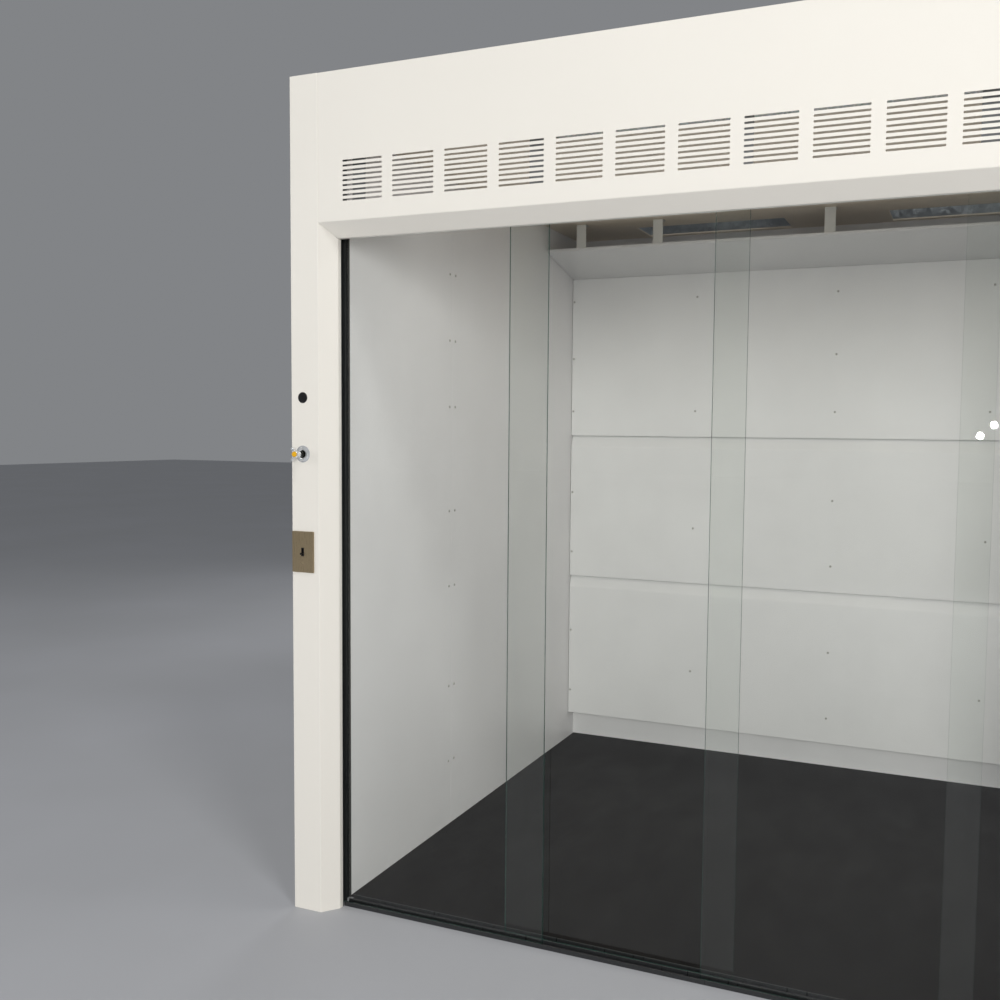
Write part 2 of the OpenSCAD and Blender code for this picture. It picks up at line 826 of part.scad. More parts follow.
left_front_post();
right_front_post();
header_panel();
left_side_panels();
right_side_panels();
rear_panels();
header_beam();
left_uprights();
right_uprights();
frame_rails();
ceiling_liner();
left_front_liner();
left_rear_liner();
right_front_liner();
right_rear_liner();
back_liner();
lower_baffle();
middle_baffle();
upper_baffle();
top_baffle();
baffle_spacers();
ceiling_brackets();
left_exhaust_collar();
right_exhaust_collar();
door_track();
track_brackets();
bottom_guide();
left_door_jamb();
right_door_jamb();
floor_sheet();
door_1_glass();
door_2_glass();
door_3_glass();
door_4_glass();
door_1_hangers();
door_2_hangers();
door_3_hangers();
door_4_hangers();
door_1_left_roller();
door_1_right_roller();
door_2_left_roller();
door_2_right_roller();
door_3_left_roller();
door_3_right_roller();
door_4_left_roller();
door_4_right_roller();
light_housing();
light_lens();
light_tubes();
switch_box();
toggle_switch();
switch_plate();
toggle_lever();
valve_body();
valve_escutcheon();
valve_handle();
valve_button();
hole_plug();
wall_screws();
plate_screws();
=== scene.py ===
"""The looks of a walk-in fume hood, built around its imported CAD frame.

Everything is in metres, in the frame's own axes. The doors face -Y, +Z is up, and the origin
lies on the ground at the middle of the footprint.
"""
import json
import logging
import math
from dataclasses import dataclass
from enum import Enum
from typing import Callable, Sequence

import bmesh
import bpy
from mathutils import Matrix, Vector


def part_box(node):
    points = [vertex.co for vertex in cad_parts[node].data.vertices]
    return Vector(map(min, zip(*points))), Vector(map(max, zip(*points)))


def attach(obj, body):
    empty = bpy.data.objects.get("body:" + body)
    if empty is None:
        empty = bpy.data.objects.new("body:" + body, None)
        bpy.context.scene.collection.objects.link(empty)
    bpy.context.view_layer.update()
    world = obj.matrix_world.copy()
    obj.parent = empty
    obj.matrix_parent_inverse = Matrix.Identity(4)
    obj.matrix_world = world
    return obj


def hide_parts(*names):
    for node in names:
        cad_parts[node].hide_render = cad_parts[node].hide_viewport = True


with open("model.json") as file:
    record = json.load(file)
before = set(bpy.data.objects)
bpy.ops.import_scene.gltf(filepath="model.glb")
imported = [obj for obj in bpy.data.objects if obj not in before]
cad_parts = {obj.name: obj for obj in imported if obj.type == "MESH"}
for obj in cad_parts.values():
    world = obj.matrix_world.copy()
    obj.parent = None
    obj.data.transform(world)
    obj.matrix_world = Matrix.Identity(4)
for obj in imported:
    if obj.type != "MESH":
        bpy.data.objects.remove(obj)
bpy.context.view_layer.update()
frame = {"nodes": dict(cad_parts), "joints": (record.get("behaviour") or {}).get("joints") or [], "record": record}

LOG = logging.getLogger("fume_hood")
FaceTest = Callable[[Vector, Vector], bool]
EdgeTest = Callable[[Vector, Vector], bool]
Socket = bpy.types.NodeSocket
Colour = tuple[float, float, float, float]
Profile = Sequence[tuple[float, float]]
SLOT_OF = {part["node"]: part["material_slot"] for part in frame["record"]["subparts"]}
BODY_OF = {node: body for body, nodes in frame["record"]["behaviour"]["bodies"].items()
           for node in nodes}
TOUCHING = 1e-5            # points closer than this are one
PAST = 0.01                # how far a cutting tool stands out of the sheet on either side
CUT_EDGE = 0.0003          # the broken edge of cut sheet
SHARP = 50                 # degrees: bends that are already rounded turn by less
FLAT = math.radians(0.3)   # faces that meet at less than this are one face
UP = Vector((0, 0, 1))
TO_FRONT = Vector((0, -1, 0))
TO_RIGHT = Vector((1, 0, 0))


class Side(Enum):
    """A side of the hood, as seen from its doors. The value is the sign of its X."""

    LEFT = -1
    RIGHT = 1

    @property
    def word(self) -> str:
        """The side as node names have it."""
        return self.name.lower()


class Run(Enum):
    """The direction that a folded sheet runs in."""

    ACROSS = "x"
    UPRIGHT = "z"

    def place(self, corner: Sequence[float], along: float) -> Vector:
        """A corner of the section, in the frame's axes, at a distance along the run."""
        first, second = corner
        return Vector((along, first, second) if self is Run.ACROSS else (first, second, along))

    def flat(self, point: Vector) -> Vector:
        """The point's two coordinates in the section's plane."""
        return Vector(point.yz if self is Run.ACROSS else point.xy)


# ------------------------------------------------------------------ modelling


def drop_selection() -> None:
    """Deselects every object, so that an operator reaches only what is picked next."""
    if bpy.context.object is not None and bpy.context.object.mode != "OBJECT":
        bpy.ops.object.mode_set(mode="OBJECT")
    bpy.ops.object.select_all(action="DESELECT")


class Workpiece:
    """One mesh that is shaped with Blender's own modelling tools."""

    def __init__(self, obj: bpy.types.Object) -> None:
        """Takes a mesh object as the workpiece."""
        self.obj = obj

    @classmethod
    def _fresh(cls, name: str) -> "Workpiece":
        """Names the primitive that was just added and applies its place.

        Args:
            name: The name of the piece.

        Returns:
            The workpiece, with its object at the origin.
        """
        bpy.ops.object.transform_apply(location=True, rotation=True, scale=True)
        return cls(bpy.context.object).rename(name)

    def rename(self, name: str) -> "Workpiece":
        """Gives the object and its mesh a new name."""
        self.obj.name = self.obj.data.name = name
        return self

    @classmethod
    def block(cls, name: str, low: Sequence[float], high: Sequence[float],
              turn: Sequence[float] = (0, 0, 0)) -> "Workpiece":
        """Starts from a block, given by its two corners before it is turned about its middle.

        Args:
            name: The name of the piece.
            low: The lowest corner.
            high: The highest corner.
            turn: The turn about X, Y and Z in radians.

        Returns:
            The workpiece.
        """
        low, high = Vector(low), Vector(high)
        drop_selection()
        bpy.ops.mesh.primitive_cube_add(size=1, location=(low + high) / 2, scale=high - low,
                                        rotation=turn)
        return cls._fresh(name)

    @classmethod
    def rod(cls, name: str, start: Sequence[float], end: Sequence[float], radius: float,
            sides: int = 48) -> "Workpiece":
        """Starts from a round bar between two points.

        Args:
            name: The name of the piece.
            start: The middle of one end.
            end: The middle of the other end.
            radius: The bar's radius.
            sides: The number of flats around it.

        Returns:
            The workpiece.
        """
        start, end = Vector(start), Vector(end)
        along = end - start
        drop_selection()
        bpy.ops.mesh.primitive_cylinder_add(vertices=sides, radius=radius, depth=along.length,
                                            location=(start + end) / 2,
                                            rotation=along.to_track_quat("Z", "Y").to_euler())
        return cls._fresh(name)

    @classmethod
    def ball(cls, name: str, centre: Sequence[float], radius: float) -> "Workpiece":
        """Starts from a ball.

        Args:
            name: The name of the piece.
            centre: The middle of the ball.
            radius: The ball's radius.

        Returns:
            The workpiece.
        """
        drop_selection()
        bpy.ops.mesh.primitive_uv_sphere_add(segments=28, ring_count=16, radius=radius,
                                             location=centre)
        return cls._fresh(name)

    @classmethod
    def turned(cls, name: str, profile: Profile, foot: Vector, axis: Vector = TO_FRONT,
               steps: int = 56, scale: tuple[float, float] = (1, 1)) -> "Workpiece":
        """Turns a profile about an axis, as on a lathe.

        Args:
            name: The name of the piece.
            profile: Radius and height of each point of the closed or pole-to-pole profile.
            foot: The point on the axis at height 0.
            axis: The direction in which height grows.
            steps: The number of steps around.
            scale: What the profile's radii and heights are multiplied by.

        Returns:
            The workpiece.
        """
        out = axis.orthogonal().normalized()
        wide, tall = scale
        points = [foot + out * (radius * wide) + axis * (height * tall)
                  for radius, height in profile]
        drop_selection()
        bpy.ops.mesh.primitive_plane_add(size=1e-4, location=points[0])
        piece = cls._fresh(name)
        bpy.ops.object.mode_set(mode="EDIT")
        bpy.ops.mesh.select_mode(type="VERT")
        bpy.ops.mesh.select_all(action="SELECT")
        bpy.ops.mesh.merge(type="CENTER")
        for here, there in zip(points, points[1:]):
            bpy.ops.mesh.extrude_region_move(TRANSFORM_OT_translate={"value": there - here})
        bpy.ops.mesh.select_all(action="SELECT")
        bpy.ops.mesh.spin(steps=steps, angle=math.tau, center=foot, axis=axis)
        bpy.ops.mesh.select_all(action="SELECT")
        bpy.ops.mesh.remove_doubles(threshold=TOUCHING)
        bpy.ops.mesh.normals_make_consistent(inside=False)
        bpy.ops.object.mode_set(mode="OBJECT")
        return piece

    @classmethod
    def merged(cls, node: str, ending: str = "finished") -> "Workpiece":
        """Starts from a copy of a CAD node, merged and freed of its triangles.

        Args:
            node: The CAD node.
            ending: What is added to the node's name.

        Returns:
            The workpiece.
        """
        drop_selection()
        source = frame["nodes"][node]
        source.select_set(True)
        bpy.context.view_layer.objects.active = source
        bpy.ops.object.duplicate()
        obj = bpy.context.object
        for key in list(obj.keys()):
            del obj[key]
        obj.parent = None
        obj.data.materials.clear()
        bpy.ops.object.mode_set(mode="EDIT")
        bpy.ops.mesh.select_all(action="SELECT")
        bpy.ops.mesh.remove_doubles(threshold=TOUCHING / 10)
        bpy.ops.mesh.dissolve_limited(angle_limit=FLAT)
        bpy.ops.object.mode_set(mode="OBJECT")
        return cls(obj).rename(f"{node}_{ending}")

    def activate(self) -> None:
        """Makes this the only selected object and the active one."""
        drop_selection()
        self.obj.select_set(True)
        bpy.context.view_layer.objects.active = self.obj

    def open(self, mode: str) -> bmesh.types.BMesh:
        """Opens the mesh for editing with nothing selected.

        Args:
            mode: FACE or EDGE.

        Returns:
            The mesh that is being edited.
        """
        self.activate()
        bpy.ops.object.mode_set(mode="EDIT")
        bpy.ops.mesh.select_mode(type=mode)
        bpy.ops.mesh.select_all(action="DESELECT")
        return bmesh.from_edit_mesh(self.obj.data)

    def pick_faces(self, test: FaceTest) -> None:
        """Opens the mesh for editing with the faces that pass a test selected.

        Args:
            test: Takes a face's middle and normal.
        """
        for face in self.open("FACE").faces:
            if test(face.calc_center_median(), face.normal):
                face.select_set(True)
        bmesh.update_edit_mesh(self.obj.data)

    def pick_edges(self, test: EdgeTest) -> None:
        """Opens the mesh for editing with the edges that pass a test selected.

        Args:
            test: Takes an edge's two ends.
        """
        for edge in self.open("EDGE").edges:
            if test(edge.verts[0].co, edge.verts[1].co):
                edge.select_set(True)
        bmesh.update_edit_mesh(self.obj.data)

    def close(self) -> "Workpiece":
        """Leaves edit mode."""
        bpy.ops.object.mode_set(mode="OBJECT")
        return self

    def ease(self, test: EdgeTest, width: float, segments: int = 4) -> "Workpiece":
        """Rounds the edges that pass a test.

        Args:
            test: Takes an edge's two ends.
            width: How far the rounding reaches from the edge.
            segments: The number of steps across it.

        Returns:
            The workpiece.
        """
        self.pick_edges(test)
        bpy.ops.mesh.bevel(offset=width, offset_type="OFFSET", segments=segments,
                           affect="EDGES", clamp_overlap=True)
        return self.close()

    def extrude(self, test: EdgeTest, move: Vector) -> "Workpiece":
        """Extrudes the edges that pass a test.

        Args:
            test: Takes an edge's two ends.
            move: How far the new edges move.

        Returns:
            The workpiece.
        """
        self.pick_edges(test)
        bpy.ops.mesh.extrude_region_move(TRANSFORM_OT_translate={"value": move})
        return self.close()

    def slice(self, test: FaceTest, point: Vector, normal: Vector,
              clear: bool = False) -> "Workpiece":
        """Cuts the faces that pass a test along a plane.

        Args:
            test: Takes a face's middle and normal.
            point: A point on the plane.
            normal: The plane's normal.
            clear: Whether what lies on the normal's side is removed.

        Returns:
            The workpiece.
        """
        self.pick_faces(test)
        bpy.ops.mesh.bisect(plane_co=point, plane_no=normal, clear_outer=clear)
        return self.close()

    def modify(self, kind: str, **settings: object) -> "Workpiece":
        """Adds a modifier and applies it.

        Args:
            kind: The modifier's type.
            settings: Its settings.

        Returns:
            The workpiece.
        """
        self.activate()
        modifier = self.obj.modifiers.new(kind.title(), kind)
        for name, value in settings.items():
            setattr(modifier, name, value)
        bpy.ops.object.modifier_apply(modifier=modifier.name)
        return self

    def break_edges(self, width: float, segments: int = 2, angle: float = 35) -> "Workpiece":
        """Breaks edges that turn by more than an angle in degrees, as filing does."""
        return self.modify("BEVEL", width=width, segments=segments, limit_method="ANGLE",
                           angle_limit=math.radians(angle))

    def thicken(self, thickness: float) -> "Workpiece":
        """Gives an open sheet its thickness, away from the side that its faces point to."""
        return self.modify("SOLIDIFY", thickness=thickness, offset=-1, use_even_offset=True)

    def trim(self) -> "Workpiece":
        """Breaks the cut edges of thickened sheet and leaves its rounded bends alone."""
        return self.break_edges(CUT_EDGE, 1, SHARP)

    def combine(self, tool: "Workpiece", operation: str) -> "Workpiece":
        """Joins a tool's shape to the piece or cuts it out, and removes the tool.

        Args:
            tool: The other shape.
            operation: UNION or DIFFERENCE.

        Returns:
            The workpiece.
        """
        self.modify("BOOLEAN", object=tool.obj, operation=operation, solver="EXACT")
        bpy.data.objects.remove(tool.obj)
        return self

    def gather(self, others: Sequence["Workpiece"]) -> "Workpiece":
        """Joins separate solids into this piece, each as it is.

        Args:
            others: The other solids.

        Returns:
            The workpiece.
        """
        self.activate()
        for other in others:
            other.obj.select_set(True)
        if others:
            bpy.ops.object.join()
        return self

    def copy(self, move: Vector, turn: Matrix | None = None) -> "Workpiece":
        """Copies the piece, with a mesh of its own, and moves the copy.

        Args:
            move: How far the copy moves.
            turn: How the copy is turned about the origin before it moves.

        Returns:
            The copy.
        """
        self.activate()
        bpy.ops.object.duplicate()
        twin = Workpiece(bpy.context.object)
        twin.obj.data.transform(Matrix.Translation(move) @ (turn or Matrix.Identity(4)))
        return twin

    def two_tone(self, first: "Finish", second: "Finish", test: FaceTest) -> "Workpiece":
        """Gives the faces that pass a test one finish, and the rest another.

        Args:
            first: The finish of the faces that pass.
            second: The finish of the others.
            test: Takes a face's middle and normal.

        Returns:
            The workpiece.
        """
        for finish in (first, second):
            self.obj.data.materials.append(finish.material())
        for face in self.obj.data.polygons:
            face.material_index = 0 if test(face.center, face.normal) else 1
        return self

    def dress(self, node: str, smooth: float = 32) -> "Workpiece":
        """Shades the piece, gives it its finish and puts it in place of its CAD node.

        Args:
            node: The CAD node that it stands for.
            smooth: Faces that meet at less than this many degrees are shaded as one.

        Returns:
            The workpiece.
        """
        slot = SLOT_OF[node]
        self.activate()
        bpy.ops.object.shade_smooth_by_angle(angle=math.radians(smooth))
        self.modify("WEIGHTED_NORMAL", keep_sharp=True, weight=60)
        if not self.obj.data.materials:
            self.obj.data.materials.append(FINISHES[slot].material())
        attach(self.obj, BODY_OF[node])
        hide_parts(node)
        LOG.info("%s: %d faces, stands for %s", self.obj.name, len(self.obj.data.polygons), node)
        return self


class SheetMetal(Workpiece):
    """A flat strip that is folded edge by edge, as on a press brake."""

    @classmethod
    def folded(cls, name: str, run: Run, section: Sequence[Sequence[float]], start: float,
               end: float, bend: float) -> "SheetMetal":
        """Folds a whole sheet along its section's corners.

        Args:
            name: The name of the piece.
            run: The direction that the folds run in.
            section: The corners of its outer face.
            start: Where the sheet starts along the run.
            end: Where it ends.
            bend: How far each rounded bend reaches from its corner.

        Returns:
            The workpiece, still without thickness.
        """
        corners = [Vector(corner) for corner in section]
        origin = run.place(corners[0], start)
        length = run.place(corners[0], end) - origin
        reach = run.place(corners[1], start) - origin
        facing = Matrix((length.normalized(), reach.normalized(),
                         length.cross(reach).normalized())).transposed()
        drop_selection()
        bpy.ops.mesh.primitive_plane_add(size=1, location=origin + (length + reach) / 2,
                                         rotation=facing.to_euler())
        bpy.context.object.scale = (length.length, reach.length, 1)
        piece = cls._fresh(name)
        for here, there in zip(corners[1:], corners[2:]):
            piece.extrude(cls.fold_line(run, here), run.place(there, 0) - run.place(here, 0))
        for corner in corners[1:-1]:
            piece.ease(cls.fold_line(run, corner), bend)
        return piece

    @staticmethod
    def fold_line(run: Run, corner: Sequence[float]) -> EdgeTest:
        """A test for the edges that run through one corner of the section."""
        corner = Vector(corner)
        return lambda a, b: all((run.flat(end) - corner).length < TOUCHING for end in (a, b))

    def face_out(self, outward: Vector, test: FaceTest | None = None) -> "SheetMetal":
        """Makes all faces agree, and turns them so that those that pass a test point outward.

        Args:
            outward: The direction that the tested faces have to point to.
            test: Takes a face's middle and normal, or None for the largest face.

        Returns:
            The workpiece.
        """
        self.pick_faces(everywhere)
        bpy.ops.mesh.normals_make_consistent(inside=False)
        self.close()
        faces = [f for f in self.obj.data.polygons if test is None or test(f.center, f.normal)]
        largest = max(faces, key=lambda f: f.area)
        if largest.normal.dot(outward) < 0:
            self.pick_faces(everywhere)
            bpy.ops.mesh.flip_normals()
            self.close()
        return self


def solid_boxes(node: str) -> list[tuple[Vector, Vector]]:
    """Finds the box of each separate solid of a CAD node.

    Args:
        node: The CAD node.

    Returns:
        The lowest and highest corner of each solid.
    """
    whole = Workpiece.merged(node, "parted")
    whole.activate()
    bpy.ops.mesh.separate(type="LOOSE")
    boxes = []
    for part in list(bpy.context.selected_objects):
        points = [v.co for v in part.data.vertices]
        boxes.append((Vector(map(min, zip(*points))), Vector(map(max, zip(*points)))))
        bpy.data.objects.remove(part)
    return sorted(boxes, key=lambda box: tuple(round(value, 4) for value in box[0]))


def joint_place(name: str) -> Vector:
    """The point that a joint of the frame turns about."""
    return Vector(next(joint for joint in frame["joints"] if joint["name"] == name)["pos_m"])


def everywhere(centre: Vector, normal: Vector) -> bool:
    """A test that every face passes."""
    return True


# ------------------------------------------------------------------ finishes


def paint(code: str) -> Colour:
    """Turns a paint card's hex code into a linear colour.

    Args:
        code: Six hex digits after a hash sign.

    Returns:
        Red, green, blue and 1.
    """
    parts = [int(code[i:i + 2], 16) / 255 for i in (1, 3, 5)]
    linear = [c / 12.92 if c <= 0.04045 else ((c + 0.055) / 1.055) ** 2.4 for c in parts]
    return (*linear, 1.0)


def shade(colour: Sequence[float], factor: float) -> Colour:
    """A darker or lighter tone of a linear colour."""
    return (*(min(1.0, c * factor) for c in colour[:3]), 1.0)


class Recipe:
    """Lays out the nodes of one material, starting from a Principled shader."""

    def __init__(self, name: str) -> None:
        """Starts an empty material.

        Args:
            name: The material's name.
        """
        self.material = bpy.data.materials.new(name)
        self.material.use_nodes = True
        self.nodes = self.material.node_tree.nodes
        self.links = self.material.node_tree.links
        self.nodes.clear()
        self.output = self.add("ShaderNodeOutputMaterial")
        self.shader = self.add("ShaderNodeBsdfPrincipled")
        self.feed(self.shader.outputs[0], self.output.inputs["Surface"])
        self.place = self.add("ShaderNodeTexCoord").outputs["Object"]

    def feed(self, value: Socket | float | Sequence[float], socket: Socket) -> None:
        """Wires a value to a socket, or sets it there if it is a constant.

        Args:
            value: Another node's output, or a constant.
            socket: The socket that takes it.
        """
        if isinstance(value, Socket):
            self.links.new(value, socket)
        else:
            socket.default_value = value

    def add(self, kind: str, inputs: dict[str | int, object] | None = None,
            **settings: object) -> bpy.types.Node:
        """Adds a node.

        Args:
            kind: The node's type.
            inputs: What its sockets take, by name or number.
            settings: Properties of the node by name.

        Returns:
            The node.
        """
        node = self.nodes.new(kind)
        for name, value in settings.items():
            setattr(node, name, value)
        for key, value in (inputs or {}).items():
            self.feed(value, node.inputs[key])
        return node

    def set(self, **values: object) -> None:
        """Sets sockets of the shader, with _ for each space in a socket's name."""
        for name, value in values.items():
            self.shader.inputs[name.replace("_", " ")].default_value = value

    def wire(self, source: Socket, socket: str) -> None:
        """Wires a value or colour to a socket of the shader."""
        self.feed(source, self.shader.inputs[socket])

    def stretched(self, stretch: Sequence[float]) -> Socket:
        """The place on the piece, scaled along each axis."""
        return self.add("ShaderNodeMapping", {"Scale": stretch, "Vector": self.place}).outputs[0]

    def noise(self, scale: float, detail: float = 2.0, stretch: Sequence[float] | None = None,
              roughness: float = 0.5) -> Socket:
        """Soft noise.

        Args:
            scale: Blotches per metre.
            detail: The number of finer layers.
            stretch: Scale along each axis, for streaks, or None.
            roughness: How strong the finer layers are.

        Returns:
            A value around 0.5.
        """
        vector = self.stretched(stretch) if stretch else self.place
        return self.add("ShaderNodeTexNoise", {"Scale": scale, "Detail": detail, "Roughness":
                                               roughness, "Vector": vector}).outputs["Fac"]

    def cells(self, scale: float, feature: str = "F1", output: str = "Distance") -> Socket:
        """An output of a Voronoi pattern with so many cells per metre."""
        return self.add("ShaderNodeTexVoronoi", {"Scale": scale, "Vector": self.place},
                        feature=feature).outputs[output]

    def spread(self, value: Socket, low: float, high: float, to_low: float,
               to_high: float) -> Socket:
        """Maps a value from one range to another, held at the ends.

        Args:
            value: The value.
            low: The start of its range.
            high: The end of its range.
            to_low: What the start becomes.
            to_high: What the end becomes.

        Returns:
            The mapped value.
        """
        return self.add("ShaderNodeMapRange", {
            "Value": value, "From Min": low, "From Max": high, "To Min": to_low,
            "To Max": to_high}).outputs[0]

    def mix(self, factor: Socket, first: Sequence[float] | Socket,
            second: Sequence[float] | Socket) -> Socket:
        """Blends two colours.

        Args:
            factor: 0 for the first colour and 1 for the second.
            first: A colour or a socket that gives one.
            second: Another.

        Returns:
            The blended colour.
        """
        return self.add("ShaderNodeMix", {0: factor, 6: first, 7: second},
                        data_type="RGBA").outputs[2]

    def clouds(self, scale: float, detail: float, *rest: object) -> Socket:
        """Noise that is spread over the whole way from 0 to 1."""
        return self.spread(self.noise(scale, detail, *rest), 0.3, 0.7, 0.0, 1.0)

    def roughen(self, value: Socket, low: float, high: float, to_low: float,
                to_high: float) -> None:
        """Lets a value, spread as by spread, set the roughness."""
        self.wire(self.spread(value, low, high, to_low, to_high), "Roughness")

    def tint(self, factor: Socket, first: Sequence[float] | Socket,
             second: Sequence[float] | Socket) -> None:
        """Blends two colours into the base colour, as mix does."""
        self.wire(self.mix(factor, first, second), "Base Color")

    def calculate(self, operation: str, *values: Socket | float) -> Socket:
        """What a Math node makes of one or two values."""
        return self.add("ShaderNodeMath", dict(enumerate(values)), operation=operation).outputs[0]

    def bumps(self, *layers: tuple[Socket, float]) -> None:
        """Stacks bump layers and wires them to the shader's normal.

        Args:
            layers: Each a height from 0 to 1, and how deep 1 is in metres.
        """
        normal = None
        for height, depth in layers:
            bump = self.add("ShaderNodeBump", {"Strength": 1.0, "Distance": depth,
                                               "Height": height})
            if normal is not None:
                self.feed(normal, bump.inputs["Normal"])
            normal = bump.outputs[0]
        self.wire(normal, "Normal")


@dataclass(frozen=True)
class Finish:
    """What every finish has: a name, under which its material is made only once, and a colour."""

    name: str
    colour: str

    def material(self) -> bpy.types.Material:
        """The finish's material, made at the first call."""
        label = f"{self.name}_finish"
        if label not in bpy.data.materials:
            self.lay(Recipe(label), paint(self.colour))
        return bpy.data.materials[label]

    def lay(self, recipe: Recipe, colour: Colour) -> None:
        """Lays out the material's nodes.

        Args:
            recipe: The recipe to fill in.
            colour: The finish's linear colour.
        """
        raise NotImplementedError


@dataclass(frozen=True)
class PowderEnamel(Finish):
    """Baked enamel on thin steel sheet, with orange peel and slightly wavy reflections."""

    roughness: float = 0.3
    coat: float = 0.35
    peel: float = 0.000016
    wave: float = 0.0006

    def lay(self, recipe: Recipe, colour: Colour) -> None:
        """Lays out the material's nodes."""
        drift = recipe.clouds(1.4, 3)
        tone = recipe.mix(drift, shade(colour, 0.985), shade(colour, 1.005))
        specks = recipe.spread(recipe.noise(900, 1), 0.68, 0.8, 0.0, 0.25)
        recipe.tint(specks, tone, shade(colour, 0.8))
        wiped = recipe.noise(11, 4, (1, 1, 0.35))
        recipe.roughen(wiped, 0.3, 0.7, self.roughness - 0.02, self.roughness + 0.025)
        recipe.set(Coat_Weight=self.coat, Coat_Roughness=0.07, Coat_IOR=1.5)
        recipe.bumps((recipe.noise(1.9, 1, (1, 1, 0.6)), self.wave),
                     (recipe.noise(270, 1), self.peel))


@dataclass(frozen=True)
class FibreBoard(Finish):
    """Glass-fibre reinforced board: pale, satin, softly mottled and not quite flat."""

    roughness: float = 0.42
    mottle: float = 0.05

    def lay(self, recipe: Recipe, colour: Colour) -> None:
        """Lays out the material's nodes."""
        clouds = recipe.spread(recipe.noise(2.6, 5, roughness=0.6), 0.32, 0.68, 0.0, 1.0)
        tone = recipe.mix(clouds, shade(colour, 1 - self.mottle), shade(colour, 1.015))
        strands = recipe.spread(recipe.noise(75, 3, (1, 1, 3.2), 0.65), 0.4, 0.75, 0.0, 0.4)
        recipe.tint(strands, tone, shade(colour, 0.93))
        rubbed = recipe.noise(5, 4, (1, 1, 0.4))
        recipe.roughen(rubbed, 0.3, 0.7, self.roughness - 0.06, self.roughness + 0.07)
        recipe.set(Specular_IOR_Level=0.45)
        recipe.bumps((recipe.noise(2.3, 1), 0.0012), (recipe.noise(130, 4), 0.00006))


@dataclass(frozen=True)
class CastResin(Finish):
    """Black cast epoxy resin, matt, with faint mineral specks and scuffs."""

    roughness: float = 0.55

    def lay(self, recipe: Recipe, colour: Colour) -> None:
        """Lays out the material's nodes."""
        clouds = recipe.clouds(3.1, 5)
        tone = recipe.mix(clouds, shade(colour, 0.85), shade(colour, 1.2))
        grains = recipe.spread(recipe.cells(420), 0.0, 0.16, 0.45, 0.0)
        recipe.tint(grains, tone, shade(colour, 2.6))
        scuffs = recipe.noise(7, 6, (1, 0.5, 1), 0.7)
        recipe.roughen(scuffs, 0.3, 0.72, self.roughness + 0.06, self.roughness - 0.09)
        recipe.set(Specular_IOR_Level=0.12)
        recipe.bumps((recipe.noise(320, 3), 0.00003))


@dataclass(frozen=True)
class RolledMetal(Finish):
    """Bare or brushed metal, with grain along one axis."""

    roughness: float = 0.3
    grain: tuple[float, float, float] = (1, 40, 40)
    depth: float = 0.000012
    metallic: float = 1.0
    stain: float = 0.12

    def lay(self, recipe: Recipe, colour: Colour) -> None:
        """Lays out the material's nodes."""
        lines = recipe.noise(28, 3, self.grain, 0.6)
        clouds = recipe.clouds(8, 4)
        tone = recipe.mix(clouds, shade(colour, 1 - self.stain), colour)
        streaks = recipe.spread(lines, 0.35, 0.7, 0.0, 0.5)
        recipe.tint(streaks, tone, shade(colour, 0.82))
        recipe.roughen(lines, 0.3, 0.7, self.roughness - 0.06, self.roughness + 0.1)
        recipe.set(Metallic=self.metallic)
        recipe.bumps((lines, self.depth), (recipe.noise(18, 2), self.depth * 2))


@dataclass(frozen=True)
class Galvanised(Finish):
    """Zinc-coated steel with its pattern of frozen crystals."""

    crystals: float = 70

    def lay(self, recipe: Recipe, colour: Colour) -> None:
        """Lays out the material's nodes."""
        flakes = recipe.cells(self.crystals, output="Color")
        split = recipe.add("ShaderNodeSeparateColor", {0: flakes})
        tone = recipe.mix(split.outputs[0], shade(colour, 0.72), shade(colour, 1.08))
        dull = recipe.spread(recipe.noise(6, 4), 0.35, 0.7, 0.0, 0.45)
        recipe.tint(dull, tone, shade(colour, 0.85))
        recipe.roughen(split.outputs[1], 0, 1, 0.3, 0.5)
        recipe.set(Metallic=1.0)
        recipe.bumps((recipe.cells(self.crystals), 0.00003), (recipe.noise(500, 2), 0.00001))


@dataclass(frozen=True)
class PlatedMetal(Finish):
    """Polished metal with handling marks and fine scratches."""

    roughness: float = 0.09
    metallic: float = 1.0

    def lay(self, recipe: Recipe, colour: Colour) -> None:
        """Lays out the material's nodes."""
        smears = recipe.noise(95, 4, roughness=0.6)
        hazy = recipe.spread(smears, 0.42, 0.7, 0.0, 1.0)
        recipe.tint(hazy, colour, shade(colour, 0.86))
        recipe.roughen(smears, 0.35, 0.7, self.roughness, self.roughness + 0.16)
        recipe.set(Metallic=self.metallic)
        recipe.bumps((recipe.noise(700, 3, (1, 1, 6)), 0.000004))


@dataclass(frozen=True)
class MouldedPlastic(Finish):
    """Moulded or extruded plastic, with a fine grain and worn, shinier patches."""

    roughness: float = 0.4
    grain: float = 0.00002
    scale: float = 900
    streak: tuple[float, float, float] | None = None

    def lay(self, recipe: Recipe, colour: Colour) -> None:
        """Lays out the material's nodes."""
        clouds = recipe.clouds(24, 4, self.streak)
        tone = recipe.mix(clouds, shade(colour, 0.88), shade(colour, 1.08))
        dust = recipe.spread(recipe.noise(260, 5, roughness=0.7), 0.6, 0.8, 0.0, 0.16)
        recipe.tint(dust, tone, paint("#9a9892"))
        recipe.roughen(clouds, 0, 1, self.roughness - 0.07, self.roughness + 0.08)
        recipe.bumps((recipe.noise(self.scale, 2), self.grain))


